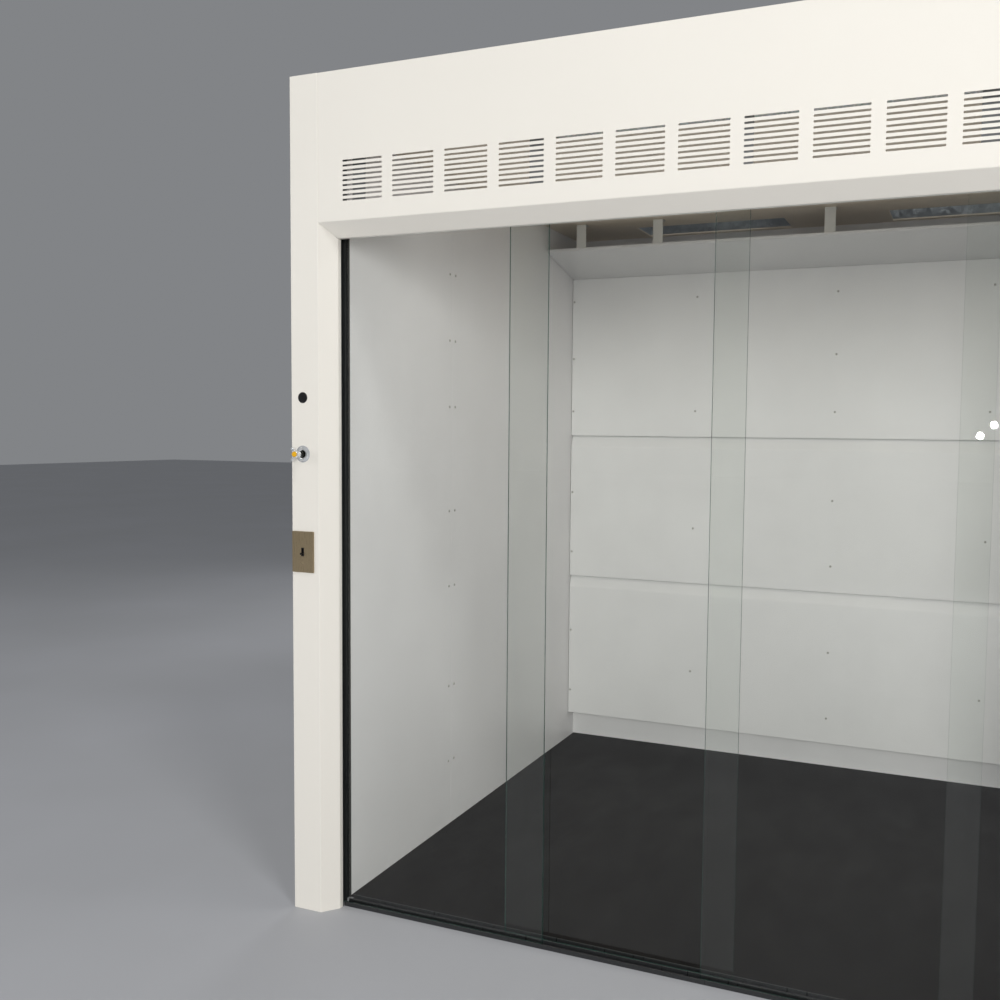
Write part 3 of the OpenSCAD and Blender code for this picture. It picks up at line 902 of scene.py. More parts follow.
@dataclass(frozen=True)
class ClearPane(Finish):
    """Clear float glass, seen through and mirroring at a slant, with faint wipe marks."""

    index: float = 1.52

    def lay(self, recipe: Recipe, colour: Colour) -> None:
        """Lays out the material's nodes."""
        recipe.nodes.remove(recipe.shader)
        wiped = recipe.spread(recipe.noise(3.4, 6, (1, 1, 0.3), 0.62), 0.42, 0.72, 0.0, 1.0)
        clear = recipe.add("ShaderNodeBsdfTransparent",
                           {"Color": recipe.mix(wiped, colour, shade(colour, 0.985))})
        gloss = recipe.add("ShaderNodeBsdfAnisotropic", {
            "Color": (1, 1, 1, 1), "Roughness": recipe.spread(wiped, 0, 1, 0.006, 0.03)})
        mirror = recipe.add("ShaderNodeFresnel", {"IOR": self.index}).outputs[0]
        back = recipe.add("ShaderNodeNewGeometry").outputs["Backfacing"]
        share = recipe.calculate("MULTIPLY", mirror, recipe.calculate("SUBTRACT", 1.0, back))
        blend = recipe.add("ShaderNodeMixShader", {0: share, 1: clear.outputs[0],
                                                   2: gloss.outputs[0]})
        recipe.feed(blend.outputs[0], recipe.output.inputs["Surface"])


@dataclass(frozen=True)
class PaneEdge(Finish):
    """The ground and polished edge of a glass pane, green where light runs inside it."""

    def lay(self, recipe: Recipe, colour: Colour) -> None:
        """Lays out the material's nodes."""
        bands = recipe.clouds(22, 3, (1, 1, 0.15))
        recipe.tint(bands, shade(colour, 0.8), shade(colour, 1.35))
        recipe.roughen(recipe.noise(300, 3), 0.3, 0.7, 0.12, 0.3)
        recipe.set(Specular_IOR_Level=0.5, Coat_Weight=0.15, Coat_Roughness=0.1)
        recipe.bumps((recipe.noise(420, 2, (1, 1, 0.2)), 0.00002))


@dataclass(frozen=True)
class PrismLens(Finish):
    """Clear ribbed glass under the lamps, which scatters what lies behind it."""

    ribs: float = 160

    def lay(self, recipe: Recipe, colour: Colour) -> None:
        """Lays out the material's nodes."""
        pyramids = recipe.cells(self.ribs)
        haze = recipe.clouds(9, 4)
        recipe.tint(haze, shade(colour, 0.92), colour)
        recipe.roughen(pyramids, 0, 0.6, 0.1, 0.28)
        recipe.set(Specular_IOR_Level=0.6, Subsurface_Weight=0.25, Subsurface_Scale=0.004,
                   Coat_Weight=0.3, Coat_Roughness=0.05)
        recipe.bumps((pyramids, 0.0009))


@dataclass(frozen=True)
class LampTube(Finish):
    """The white powdered glass of a fluorescent tube, greyer towards its ends."""

    half_length: float = 0.6

    def lay(self, recipe: Recipe, colour: Colour) -> None:
        """Lays out the material's nodes."""
        axes = recipe.add("ShaderNodeSeparateXYZ", {0: recipe.place})
        reach = recipe.calculate("ABSOLUTE", axes.outputs["X"])
        burnt = recipe.spread(reach, self.half_length - 0.07, self.half_length, 0.0, 0.7)
        powder = recipe.clouds(60, 4)
        tone = recipe.mix(powder, shade(colour, 0.95), colour)
        recipe.tint(burnt, tone, shade(colour, 0.4))
        recipe.roughen(powder, 0, 1, 0.18, 0.3)
        recipe.set(Coat_Weight=0.6, Coat_Roughness=0.04)
        recipe.bumps((recipe.noise(400, 2), 0.00001))


FINISHES: dict[str, Finish] = {
    "white_enamel": PowderEnamel("white_enamel", "#e7e3da"),
    "side_enamel": PowderEnamel("side_enamel", "#e2dfd6", roughness=0.36, wave=0.0009),
    "frame_steel": MouldedPlastic("grey_primer", "#8b8e91", 0.55, 0.00004, 500),
    "ceiling_board": FibreBoard("ceiling_board", "#efe1cd", 0.5, 0.08),
    "liner_board": FibreBoard("liner_board", "#eeecec", 0.34),
    "baffle_board": FibreBoard("baffle_board", "#ecebea", 0.4),
    "spacer_plastic": MouldedPlastic("spacer_plastic", "#e4e3dd", 0.42),
    "bracket_enamel": PowderEnamel("bracket_enamel", "#dcdbd6", 0.38, 0.15, 0.00002, 0.0001),
    "collar_steel": Galvanised("collar_steel", "#b9bdc0"),
    "track_aluminium": RolledMetal("track_aluminium", "#c3c6c8", 0.34, (1, 60, 60)),
    "jamb_black": MouldedPlastic("jamb_black", "#2a2b2c", 0.33, 0.00001, 700, (4, 4, 0.2)),
    "floor_resin": CastResin("floor_resin", "#12100f", 0.6),
    "door_glass": ClearPane("door_glass", "#fdfefd"),
    "hanger_steel": RolledMetal("hanger_steel", "#c9cccd", 0.28, (30, 30, 1)),
    "roller_nylon": MouldedPlastic("roller_nylon", "#38383a", 0.36),
    "light_enamel": PowderEnamel("light_enamel", "#d8dadb", 0.42, 0.1),
    "lens_glass": PrismLens("lens_glass", "#e2e8e7"),
    "tube_glass": LampTube("tube_glass", "#f1f1ec"),
    "box_steel": Galvanised("box_steel", "#a9adb0", 130),
    "switch_black": MouldedPlastic("switch_black", "#1c1c1d", 0.3),
    "plate_bronze": RolledMetal("plate_bronze", "#9a8a6e", 0.3, (60, 60, 1), 0.00001, 0.5),
    "lever_black": MouldedPlastic("lever_black", "#161617", 0.22, 0.000008),
    "valve_brass": PlatedMetal("valve_brass", "#c9a15f", 0.22),
    "chrome": PlatedMetal("chrome", "#eff1f2", 0.08, 0.7),
    "index_yellow": MouldedPlastic("index_yellow", "#e3ab1a", 0.3, 0.000008),
    "plug_black": MouldedPlastic("plug_black", "#171718", 0.38),
    "screw_enamel": PowderEnamel("screw_enamel", "#b4b2ab", 0.3, 0.3, 0.00001, 0.00002),
    "screw_bronze": RolledMetal("screw_bronze", "#ab9b7c", 0.3, (60, 1, 60), metallic=0.6),
}
PANE_EDGE = PaneEdge("pane_edge", "#2b4a43")
DARK_PLATE = PlatedMetal("dark_plate", "#34342f", 0.2)
TUBE_CAP = RolledMetal("tube_cap", "#c7cacb", 0.3, (1, 40, 40))


def mend(*nodes: str, width: float = 0.0005, segments: int = 2, smooth: float = 32) -> None:
    """Replaces CAD nodes one by one with merged copies whose sharp edges are broken.

    Args:
        nodes: The CAD nodes.
        width: How far each broken edge reaches.
        segments: The number of steps across it.
        smooth: Faces that meet at less than this many degrees are shaded as one.
    """
    for node in nodes:
        Workpiece.merged(node).break_edges(width, segments).dress(node, smooth=smooth)


# ------------------------------------------------------------------ outer skin


def outer_x(node: str, side: Side) -> float:
    """The X at which a node reaches furthest out on its side."""
    return side.value * max(abs(corner.x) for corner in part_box(node))


@dataclass
class FrontSheet:
    """The folds that posts and header share, so that they meet in a mitre."""

    bevel_width: float = 0.036
    bevel_depth: float = 0.043
    return_depth: float = 0.013
    flange: float = 0.045
    mitre_drop: float = 0.038
    sheet: float = 0.0015
    bend: float = 0.0022


@dataclass
class FrontPost(FrontSheet):
    """A front post: side, face, slanted bevel and return, folded from one sheet."""

    side: Side = Side.LEFT
    face_width: float = 0.089
    holes: tuple[tuple[str, float], ...] = (("hole_plug", 0.0112), ("valve_escutcheon", 0.011))

    @property
    def node(self) -> str:
        """The post's CAD node."""
        return f"{self.side.word}_front_post"

    @property
    def front(self) -> float:
        """The Y of its face."""
        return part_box(self.node)[0].y

    @property
    def outer(self) -> float:
        """The X of its outer side."""
        return outer_x(self.node, self.side)

    def build(self) -> Workpiece:
        """Folds, mitres and thickens the post, and cuts the holes for its fittings."""
        low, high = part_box(self.node)
        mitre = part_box("header_panel")[0].z + self.mitre_drop
        corners = self.corners()
        post = SheetMetal.folded(f"{self.node}_folded", Run.UPRIGHT, corners[:3], low.z,
                                 high.z, self.bend)
        post.slice(everywhere, Vector((0, 0, mitre)), UP)
        edge = SheetMetal.fold_line(Run.UPRIGHT, corners[2])
        post.extrude(lambda a, b: edge(a, b) and (a.z + b.z) / 2 > mitre,
                     Vector((0, self.flange, 0)))
        for here, there in zip(corners[2:], corners[3:]):
            at_fold = SheetMetal.fold_line(Run.UPRIGHT, here)
            post.extrude(lambda a, b: at_fold(a, b) and (a.z + b.z) / 2 < mitre,
                         Run.UPRIGHT.place(there, 0) - Run.UPRIGHT.place(here, 0))
        inward = -self.side.value
        edge_x = self.outer + inward * self.face_width
        post.slice(lambda centre, normal: (centre.x - edge_x) * inward > TOUCHING,
                   Vector((edge_x, 0, mitre)),
                   Vector((self.mitre_drop * inward, 0, self.bevel_width)), clear=True)
        for corner in corners[2:4]:
            post.ease(SheetMetal.fold_line(Run.UPRIGHT, corner), self.bend)
        post.face_out(TO_FRONT, lambda centre, normal: abs(normal.y) > 0.99)
        post.thicken(self.sheet)
        if self.side is Side.LEFT:
            self.drill(post)
        return post.trim().dress(self.node)

    def corners(self) -> list[Vector]:
        """The corners of the section in plan, from the rear of the side to the return."""
        inward = -self.side.value
        edge = self.face_width + self.bevel_width
        offsets = ((0, self.flange), (0, 0), (self.face_width, 0), (edge, self.bevel_depth),
                   (edge, self.bevel_depth + self.return_depth))
        return [Vector((self.outer + inward * x, self.front + y)) for x, y in offsets]

    def drill(self, post: Workpiece) -> None:
        """Cuts the holes behind the plug, the valve and the switch plate.

        Args:
            post: The post's workpiece.
        """
        across = Vector((0, PAST, 0))
        for node, radius in self.holes:
            low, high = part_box(node)
            middle = (low + high) / 2
            middle.y = self.front
            post.combine(Workpiece.rod("drill", middle - across, middle + across, radius),
                         "DIFFERENCE")
        low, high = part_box("switch_box")
        post.combine(Workpiece.block("punch", (low.x, self.front - PAST, low.z),
                                     (high.x, self.front + PAST, high.z)), "DIFFERENCE")


@dataclass
class HeaderPanel(FrontSheet):
    """The panel over the doors, with its groups of ventilation slots."""

    groups: int = 14
    rows: int = 9
    group_pitch: float = 0.1524
    row_pitch: float = 0.0127
    slot_length: float = 0.121
    slot_height: float = 0.005
    first_row: float = 1.9615
    slot_corner: float = 0.0016
    cut_edge: float = 0.00035

    def build(self) -> Workpiece:
        """Folds the panel, mitres its ends and punches the slots."""
        node = "header_panel"
        low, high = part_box(node)
        fold = low.z + self.mitre_drop
        rear = low.y + self.bevel_depth
        section = [(low.y + self.flange, high.z), (low.y, high.z), (low.y, fold),
                   (rear, low.z), (rear + self.return_depth, low.z)]
        panel = SheetMetal.folded(f"{node}_folded", Run.ACROSS, section, low.x, high.x,
                                  self.bend)
        for end, inward in ((low.x, 1), (high.x, -1)):
            panel.slice(lambda centre, normal: centre.z < fold - self.bend / 2,
                        Vector((end, 0, fold)),
                        Vector((-self.mitre_drop * inward, 0, -self.bevel_width)), clear=True)
        self.punch(panel, low.y)
        panel.face_out(TO_FRONT)
        panel.thicken(self.sheet)
        top, bottom = self.row_spans()[-1][1], self.row_spans()[0][0]
        panel.ease(lambda a, b: abs(a.y - b.y) > self.sheet / 2
                   and abs(a.x - b.x) + abs(a.z - b.z) < TOUCHING
                   and bottom - TOUCHING < a.z < top + TOUCHING
                   and low.x + TOUCHING < a.x < high.x - TOUCHING, self.slot_corner, 3)
        return panel.break_edges(self.cut_edge, 2, SHARP).dress(node)

    def group_spans(self) -> list[tuple[float, float]]:
        """Where each group of slots starts and ends along X."""
        first = -((self.groups - 1) * self.group_pitch + self.slot_length) / 2
        return [(first + i * self.group_pitch, first + i * self.group_pitch + self.slot_length)
                for i in range(self.groups)]

    def row_spans(self) -> list[tuple[float, float]]:
        """The bottom and top of each row of slots."""
        middles = [self.first_row + i * self.row_pitch for i in range(self.rows)]
        return [(z - self.slot_height / 2, z + self.slot_height / 2) for z in middles]

    def punch(self, panel: SheetMetal, front: float) -> None:
        """Cuts the face along every slot's edges and removes the slots.

        Args:
            panel: The panel's workpiece.
            front: The Y of its face.
        """
        def on_face(centre: Vector, normal: Vector) -> bool:
            """Whether a face belongs to the flat front."""
            return abs(centre.y - front) < TOUCHING

        for span in self.row_spans():
            for z in span:
                panel.slice(on_face, Vector((0, 0, z)), UP)
        for span in self.group_spans():
            for x in span:
                panel.slice(on_face, Vector((x, 0, 0)), TO_RIGHT)
        panel.pick_faces(lambda centre, normal: on_face(centre, normal)
                         and any(a < centre.x < b for a, b in self.group_spans())
                         and any(a < centre.z < b for a, b in self.row_spans()))
        bpy.ops.mesh.delete(type="FACE")
        panel.close()


@dataclass
class OuterPanels:
    """The side and rear sheets, two to a side, with their folded edges."""

    side_edge: float = 0.020
    rear_edge: float = 0.004
    seam: float = 0.001
    sheet: float = 0.0015
    bend: float = 0.0018

    def build(self) -> None:
        """Builds the panels of both sides and of the rear."""
        for side in Side:
            node = f"{side.word}_side_panels"
            low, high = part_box(node)
            outer = outer_x(node, side)
            inner = outer - side.value * self.side_edge
            self.pair(node, [[(inner, end), (outer, end), (outer, start), (inner, start)]
                             for start, end in self.halves(low.y, high.y)], TO_RIGHT * side.value)
        low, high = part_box("rear_panels")
        inner = high.y - self.rear_edge
        self.pair("rear_panels", [[(start, inner), (start, high.y), (end, high.y), (end, inner)]
                                  for start, end in self.halves(low.x, high.x)], -TO_FRONT)

    def halves(self, start: float, end: float) -> tuple[tuple[float, float], ...]:
        """Two stretches that meet at the seam in the middle."""
        return (start, -self.seam / 2), (self.seam / 2, end)

    def pair(self, node: str, sections: Sequence[Profile], outward: Vector) -> None:
        """Folds the two sheets of one side.

        Args:
            node: The CAD node.
            sections: The corners of each sheet's outer face.
            outward: Where their largest flats face.
        """
        low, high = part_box(node)
        sheets = [SheetMetal.folded(f"{node}_folded", Run.UPRIGHT, section, low.z, high.z,
                                    self.bend).face_out(outward).thicken(self.sheet).trim()
                  for section in sections]
        sheets[0].gather(sheets[1:]).dress(node)


# ------------------------------------------------------------------ chamber


@dataclass
class Baffles:
    """The lapped boards in front of the back wall and the sloped board over them."""

    thickness: float = 0.005
    pitch: float = 0.6096
    lap_drop: float = 0.050
    lap_rise: float = 0.012
    lap_back: float = 0.022
    flange: float = 0.040
    lip: float = 0.012
    bend: float = 0.005
    cut_edge: float = 0.0012

    def build(self) -> None:
        """Folds all four boards."""
        for node in ("lower_baffle", "middle_baffle"):
            low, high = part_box(node)
            lap = low.z + self.pitch
            self.board(node, [(low.y + self.lap_back, lap + self.lap_rise),
                              (low.y, lap - self.lap_drop), (low.y, low.z)])
        low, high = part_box("upper_baffle")
        self.board("upper_baffle", [(low.y, high.z), (low.y, low.z)])
        low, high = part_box("top_baffle")
        rear = high.y - self.thickness
        self.board("top_baffle", [(low.y, high.z), (low.y, high.z - self.lip),
                                  (rear, low.z + self.flange), (rear, low.z)])

    def board(self, node: str, section: Profile) -> None:
        """Folds one board, whose front is its outer face.

        Args:
            node: The CAD node.
            section: The corners of its front face, from the top down.
        """
        low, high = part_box(node)
        board = SheetMetal.folded(f"{node}_board", Run.ACROSS, section, low.x, high.x,
                                  self.bend)
        board.face_out(TO_FRONT - UP / 2)
        board.thicken(self.thickness).break_edges(self.cut_edge, 2, SHARP).dress(node)


@dataclass
class PanScrews:
    """The pan-head screws that hold the liners and the baffles."""

    radius: float = 0.0045
    height: float = 0.0025
    recess: float = 0.0011
    recess_width: float = 0.0009
    recess_reach: float = 0.55
    spin_step: float = 37
    dome: Profile = ((0, 0), (1, 0), (1, 0.35), (0.86, 0.7), (0.6, 0.92), (0, 1))

    def build(self) -> None:
        """Makes one screw head and copies it to every screw of the CAD model."""
        head = self.head()
        copies = []
        for low, high in solid_boxes("wall_screws"):
            size = high - low
            middle = (low + high) / 2
            if size.x < size.y:
                out = Vector((-math.copysign(1, middle.x), 0, 0))
                top = Vector((high.x if out.x > 0 else low.x, middle.y, middle.z))
            else:
                out, top = TO_FRONT, Vector((middle.x, low.y, middle.z))
            turn = out.to_track_quat("Z", "Y").to_matrix().to_4x4()
            spin = Matrix.Rotation(math.radians(self.spin_step * len(copies) % 90), 4, "Z")
            copies.append(head.copy(top - out * self.height, turn @ spin))
        bpy.data.objects.remove(head.obj)
        copies[0].rename("wall_screw_heads").gather(copies[1:]).dress("wall_screws", smooth=40)

    def head(self) -> Workpiece:
        """Turns a low dome on the ground and cuts its cross recess."""
        head = Workpiece.turned("screw_head", self.dome, Vector(), UP, 20,
                                (self.radius, self.height))
        arm, half = self.radius * self.recess_reach, self.recess_width / 2
        for x, y in ((arm, half), (half, arm)):
            head.combine(Workpiece.block("cross", (-x, -y, self.height - self.recess),
                                         (x, y, 2 * self.height)), "DIFFERENCE")
        return head


@dataclass
class Chamber:
    """Liners, ceiling, floor sheet, baffles and what holds them."""

    def build(self) -> None:
        """Builds everything inside the hood."""
        mend("left_front_liner", "right_front_liner", "left_rear_liner", "right_rear_liner",
             "back_liner", "ceiling_liner", width=0.001)
        mend("floor_sheet", width=0.0012)
        Baffles().build()
        mend("baffle_spacers", width=0.0006)
        mend("ceiling_brackets", width=0.0012, segments=3)
        PanScrews().build()


# ------------------------------------------------------------------ doors


@dataclass
class SlidingDoor:
    """One glass door with its two hangers and rollers."""

    number: int
    arris: float = 0.0009

    def build(self) -> None:
        """Builds the pane, and mends its hangers and rollers."""
        name = f"door_{self.number}"
        pane = Workpiece.merged(f"{name}_glass", "pane").break_edges(self.arris, 2)
        pane.two_tone(FINISHES["door_glass"], PANE_EDGE,
                      lambda centre, normal: abs(normal.y) > 0.999).dress(f"{name}_glass")
        mend(f"{name}_hangers", width=0.0005)
        mend(f"{name}_left_roller", f"{name}_right_roller", width=0.0005, segments=3)


@dataclass
class DoorGear:
    """The track, its brackets, the guide on the ground and the jambs."""

    def build(self) -> None:
        """Mends the fixed parts that the doors run in."""
        mend("door_track", "bottom_guide", width=0.0004)
        mend("track_brackets", width=0.0006)
        mend("left_door_jamb", "right_door_jamb", width=0.0005)


# ------------------------------------------------------------------ services


@dataclass
class CeilingLight:
    """The lamp housing on the ceiling, its lens and its two tubes."""

    cap_length: float = 0.018
    cap_rim: float = 0.0015

    def build(self) -> None:
        """Builds the tubes with their caps, and mends the housing and the lens."""
        mend("light_housing", width=0.0012)
        mend("light_lens", width=0.0012)
        tubes = [self.tube(low, high) for low, high in solid_boxes("light_tubes")]
        tubes[0].rename("light_tube_pair").gather(tubes[1:]).dress("light_tubes")

    def tube(self, low: Vector, high: Vector) -> Workpiece:
        """Makes one tube with a metal cap at each end.

        Args:
            low: The lowest corner of the CAD tube.
            high: Its highest corner.

        Returns:
            The workpiece.
        """
        middle, radius = (low + high) / 2, (high.z - low.z) / 2
        tube = Workpiece.rod("tube", (low.x, middle.y, middle.z), (high.x, middle.y, middle.z),
                             radius)
        for x in (low.x + self.cap_length, high.x - self.cap_length):
            tube.slice(everywhere, Vector((x, 0, 0)), TO_RIGHT)
        tube.pick_faces(lambda centre, normal: abs(normal.x) > 0.9)
        bpy.ops.mesh.inset(thickness=self.cap_rim, depth=-self.cap_rim)
        bpy.ops.mesh.inset(thickness=radius * 0.4, depth=self.cap_rim / 2)
        tube.close().break_edges(0.0004, 1)
        return tube.two_tone(FINISHES["tube_glass"], TUBE_CAP, lambda centre, normal:
                             low.x + self.cap_length < centre.x < high.x - self.cap_length)


@dataclass
class SwitchSet:
    """The wall plate with its toggle switch."""

    corner: float = 0.0022
    pillow: float = 0.0036
    slot_width: float = 0.0096
    slot_height: float = 0.024
    plate_edge: float = 0.0002
    lever_width: float = 0.0052
    lever_reach: float = 0.018
    lever_tilt: float = 15
    tip_radius: float = 0.0029
    barrel_radius: float = 0.0045
    screw_length: float = 0.012
    screw_slit: float = 0.26

    def build(self) -> None:
        """Builds the plate, its screws and the lever, and mends the rest."""
        mend("switch_box", width=0.0006)
        mend("toggle_switch", width=0.0004)
        self.plate()
        self.screws()
        self.lever()

    def plate(self) -> None:
        """Presses the plate with rounded corners and rim, and punches its slot."""
        low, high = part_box("switch_plate")
        middle = (low + high) / 2
        plate = Workpiece.block("switch_plate_pressed", low, high)
        plate.ease(lambda a, b: abs(a.y - b.y) > TOUCHING, self.corner, 4)
        plate.ease(lambda a, b: max(a.y, b.y) < low.y + TOUCHING, self.pillow, 2)
        half = Vector((self.slot_width / 2, high.y - middle.y + PAST, self.slot_height / 2))
        plate.combine(Workpiece.block("punch", middle - half, middle + half), "DIFFERENCE")
        plate.break_edges(self.plate_edge, 2, SHARP).dress("switch_plate")

    def screws(self) -> None:
        """Turns the two oval-head screws and cuts their slots."""
        plate_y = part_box("switch_plate")[0].y
        heads = []
        for low, high in solid_boxes("plate_screws"):
            middle, radius, reach = (low + high) / 2, (high.x - low.x) / 2, plate_y - low.y
            foot = Vector((middle.x, plate_y, middle.z))
            head = Workpiece.turned("plate_screw_heads", [
                (0, -self.screw_length), (radius * 0.5, -self.screw_length),
                (radius * 0.5, -0.001), (radius * 0.97, -0.0002), (radius, reach * 0.15),
                (radius * 0.85, reach * 0.6), (radius * 0.5, reach * 0.9), (0, reach)],
                foot, steps=32)
            wide, half = radius * 1.2, radius * self.screw_slit / 2
            slit = Workpiece.block("slit", (middle.x - wide, low.y - 0.001, middle.z - half),
                                   (middle.x + wide, low.y + reach * 0.6, middle.z + half),
                                   (0, math.radians(20 + 50 * len(heads)), 0))
            heads.append(head.combine(slit, "DIFFERENCE"))
        heads[0].gather(heads[1:]).dress("plate_screws", smooth=40)

    def lever(self) -> None:
        """Moulds the bat lever on its pivot barrel, at its rest tilt."""
        low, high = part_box("toggle_lever")
        pivot, tilt = joint_place("lever_flip"), math.radians(self.lever_tilt)
        reach = Vector((0, -math.cos(tilt), -math.sin(tilt))) * self.lever_reach
        half = self.lever_width / 2
        size = Vector((half, self.lever_reach / 2, half))
        lever = Workpiece.block("toggle_lever_bat", pivot + reach / 2 - size,
                                pivot + reach / 2 + size, (tilt, 0, 0))
        tip, aside = pivot + reach, TO_RIGHT * half
        lever.combine(Workpiece.rod("tip", tip - aside, tip + aside, self.tip_radius), "UNION")
        lever.combine(Workpiece.rod("barrel", (low.x, pivot.y, pivot.z),
                                    (high.x, pivot.y, pivot.z), self.barrel_radius), "UNION")
        lever.break_edges(0.0007, 3, 40).dress("toggle_lever", smooth=40)


@dataclass
class ServiceValve:
    """The cross-handled valve on the left post."""

    hub_radius: float = 0.0095
    hub_half: float = 0.010
    arms: int = 4
    first_arm: float = 45
    arm_radius: float = 0.0030
    arm_sunk: float = 0.0025
    ball_radius: float = 0.0046
    ball_reach: float = 0.020
    stem_radius: float = 0.004
    stem_length: float = 0.028
    bell: Profile = (
        (0.0112, 0), (0.0230, 0), (0.0230, 0.0008), (0.0226, 0.0014), (0.0212, 0.0019),
        (0.0190, 0.0026), (0.0172, 0.0036), (0.0160, 0.0042), (0.0146, 0.0045),
        (0.0118, 0.0045), (0.0112, 0.0040), (0.0112, 0))
    dome: Profile = ((0, 0), (1, 0), (1, 0.45), (0.93, 0.72), (0.8, 0.93), (0.66, 1),
                     (0.6, 0.9), (0.54, 1), (0, 1))

    def build(self) -> None:
        """Turns the escutcheon, handle and button, and mends the body."""
        self.body()
        self.escutcheon()
        self.handle()
        self.button()

    @property
    def centre(self) -> Vector:
        """The point that the handle turns about."""
        return joint_place("valve_turn")

    def on_axis(self, y: float) -> Vector:
        """The point on the valve's axis at a given Y."""
        return Vector((self.centre.x, y, self.centre.z))

    def body(self) -> None:
        """Mends the body, whose front end is plated dark."""
        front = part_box("left_front_post")[0].y
        body = Workpiece.merged("valve_body").break_edges(0.0006)
        body.two_tone(FINISHES["valve_brass"], DARK_PLATE,
                      lambda centre, normal: centre.y >= front).dress("valve_body")

    def escutcheon(self) -> None:
        """Spins the bell-shaped flange that lies on the post."""
        low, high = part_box("valve_escutcheon")
        Workpiece.turned("valve_escutcheon_spun", self.bell, self.on_axis(high.y)
                         ).dress("valve_escutcheon", smooth=50)

    def handle(self) -> None:
        """Turns the hub and joins four round-ended arms to it."""
        front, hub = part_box("valve_button")[1].y, self.hub_half * 2
        r = self.hub_radius
        handle = Workpiece.turned("valve_handle_cross", [
            (0, -self.stem_length), (self.stem_radius, -self.stem_length),
            (self.stem_radius, -0.0005), (r * 0.72, 0), (r * 0.9, 0.0012), (r * 0.92, 0.0035),
            (r, 0.0052), (r, hub - 0.0045), (r * 0.93, hub - 0.0025), (r * 0.93, hub - 0.0008),
            (r * 0.86, hub), (0, hub)], self.on_axis(front + hub))
        middle = self.on_axis(front + self.hub_half)
        for number in range(self.arms):
            angle = math.radians(self.first_arm + 360 / self.arms * number)
            out = Vector((math.sin(angle), 0, math.cos(angle)))
            tip = middle + out * self.ball_reach
            handle.combine(Workpiece.rod("arm", middle + out * (r - self.arm_sunk), tip,
                                         self.arm_radius, 24), "UNION")
            handle.combine(Workpiece.ball("ball", tip, self.ball_radius), "UNION")
        handle.dress("valve_handle", smooth=40)

    def button(self) -> None:
        """Turns the coloured index button, with a shallow ring around its middle."""
        low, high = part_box("valve_button")
        size = ((high.x - low.x) / 2, high.y - low.y)
        Workpiece.turned("valve_button_turned", self.dome, self.on_axis(high.y), scale=size
                         ).dress("valve_button", smooth=50)


@dataclass
class HolePlug:
    """The snap-in plug over an unused service hole."""

    stem_size: tuple[float, float] = (0.0108, 0.008)
    neck: float = 0.002
    stem: Profile = ((0, -0.6), (0.85, -1), (0.95, -1), (1, -0.6))
    cap: Profile = ((1, 0), (1, 0.2), (0.94, 0.45), (0.8, 0.75), (0.55, 0.94), (0, 1))

    def build(self) -> None:
        """Turns the domed cap and its snap-in stem."""
        low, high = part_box("hole_plug")
        middle, radius = (low + high) / 2, (high.x - low.x) / 2
        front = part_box("left_front_post")[0].y
        wide, deep = self.stem_size
        stem = [(x * wide, y * deep) for x, y in self.stem]
        neck = [(wide * 0.94, -self.neck), (wide * 0.94, 0)]
        cap = [(x * radius, y * (front - low.y)) for x, y in self.cap]
        Workpiece.turned("hole_plug_cap", stem + neck + cap, Vector((middle.x, front, middle.z))
                         ).dress("hole_plug", smooth=50)


# ------------------------------------------------------------------ studio


@dataclass
class Lamp:
    """A soft round lamp that points at a spot, and that polished faces may mirror."""

    name: str
    place: tuple[float, float, float]
    aim: tuple[float, float, float]
    size: float
    power: float
    colour: tuple[float, float, float] = (1, 1, 1)
    mirrored: bool = False
    depth: float | None = None

    def light(self) -> None:
        """Hangs the lamp."""
        data = bpy.data.lights.new(self.name, "AREA")
        data.shape = "ELLIPSE"
        data.size, data.size_y = self.size, self.depth or self.size
        data.energy, data.color = self.power, self.colour
        lamp = bpy.data.objects.new(self.name, data)
        lamp.location = self.place
        toward = Vector(self.aim) - Vector(self.place)
        lamp.rotation_euler = toward.to_track_quat("-Z", "Y").to_euler()
        lamp.visible_camera = False
        lamp.visible_glossy = self.mirrored
        bpy.context.scene.collection.objects.link(lamp)


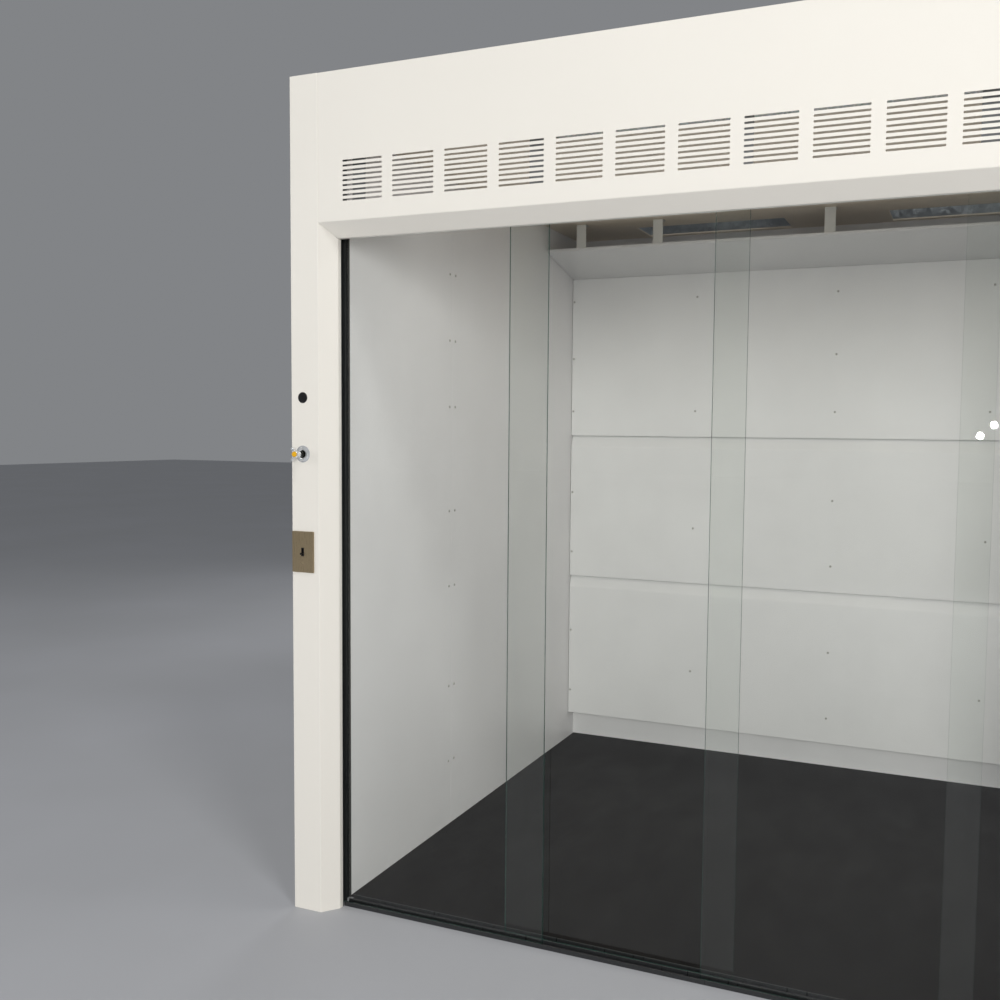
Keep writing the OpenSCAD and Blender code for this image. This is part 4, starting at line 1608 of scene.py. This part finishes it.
@dataclass
class Studio:
    """The plain floor, the soft light and the camera."""

    floor_size: float = 60.0
    sky: Colour = (0.62, 0.64, 0.67, 1.0)
    sky_strength: float = 0.36
    lens: float = 37.23
    camera_place: tuple[float, float, float] = (0.5286, -3.3388, 1.3580)
    yaw: float = 22.865
    pitch: float = -3.890
    roll: float = 0.567
    shift: tuple[float, float] = (-0.0425, 0.0004)
    lamps: tuple[Lamp, ...] = (
        Lamp("key_lamp", (2.5, -7.4, 2.25), (-0.2, 0.4, 1.2), 2.6, 350, (1.0, 0.99, 0.98)),
        Lamp("hood_lamp", (0.0, -0.63, 2.168), (0.0, -0.5, 0.0), 1.1, 5, (1.0, 0.985, 0.965),
             depth=0.14),
        Lamp("left_lamp", (-6.4, -5.0, 2.6), (-0.6, -0.6, 1.3), 2.4, 90, (0.98, 0.99, 1.0)),
        Lamp("rear_lamp", (-1.8, 5.6, 3.4), (0.0, 0.6, 1.2), 2.8, 100),
        Lamp("high_lamp", (2.4, -3.6, 6.2), (-0.3, -0.9, 1.2), 1.2, 90, mirrored=True),
        Lamp("left_glint", (0.527, -5.9, 1.347), (0.5, -1.0, 1.35), 0.045, 1.4,
             mirrored=True),
        Lamp("right_glint", (0.612, -5.9, 1.42), (0.55, -1.0, 1.38), 0.045, 1.4,
             mirrored=True),
    )

    def build(self) -> None:
        """Sets up floor, sky, lamps and camera."""
        self.floor()
        self.backdrop()
        for lamp in self.lamps:
            lamp.light()
        self.camera()

    def floor(self) -> None:
        """Lays the pale floor."""
        drop_selection()
        bpy.ops.mesh.primitive_plane_add(size=self.floor_size)
        floor = Workpiece(bpy.context.object).rename("studio_floor")
        recipe = Recipe("studio_floor")
        clouds = recipe.clouds(0.8, 4)
        recipe.tint(clouds, paint("#b4b5b8"), paint("#bbbcc0"))
        recipe.roughen(clouds, 0, 1, 0.6, 0.7)
        recipe.bumps((recipe.noise(150, 3), 0.0001))
        floor.obj.data.materials.append(recipe.material)

    def backdrop(self) -> None:
        """Surrounds the scene with even, pale light."""
        world = bpy.data.worlds.new("studio_light")
        world.use_nodes = True
        light = world.node_tree.nodes["Background"]
        light.inputs["Color"].default_value = self.sky
        light.inputs["Strength"].default_value = self.sky_strength
        bpy.context.scene.world = world

    def camera(self) -> None:
        """Places the camera."""
        data = bpy.data.cameras.new("camera")
        data.lens, data.sensor_width = self.lens, 36.0
        data.shift_x, data.shift_y = self.shift
        data.clip_end = 200
        camera = bpy.data.objects.new("camera", data)
        turn = (Matrix.Rotation(math.radians(self.yaw), 4, "Z")
                @ Matrix.Rotation(math.radians(90 + self.pitch), 4, "X")
                @ Matrix.Rotation(math.radians(self.roll), 4, "Z"))
        camera.matrix_world = Matrix.Translation(self.camera_place) @ turn
        bpy.context.scene.collection.objects.link(camera)
        bpy.context.scene.camera = camera
        bpy.context.scene.view_settings.view_transform = "Standard"


def main() -> None:
    """Builds every sub-assembly in order."""
    logging.basicConfig(level=logging.INFO, format="%(name)s: %(message)s")
    Studio().build()
    for side in Side:
        FrontPost(side=side).build()
    HeaderPanel().build()
    OuterPanels().build()
    mend("header_beam", "left_uprights", "right_uprights", "frame_rails", width=0.0008)
    Chamber().build()
    mend("left_exhaust_collar", "right_exhaust_collar", width=0.0006)
    DoorGear().build()
    for number in range(1, 5):
        SlidingDoor(number).build()
    CeilingLight().build()
    SwitchSet().build()
    ServiceValve().build()
    HolePlug().build()
    drop_selection()


if __name__ == "__main__":
    main()
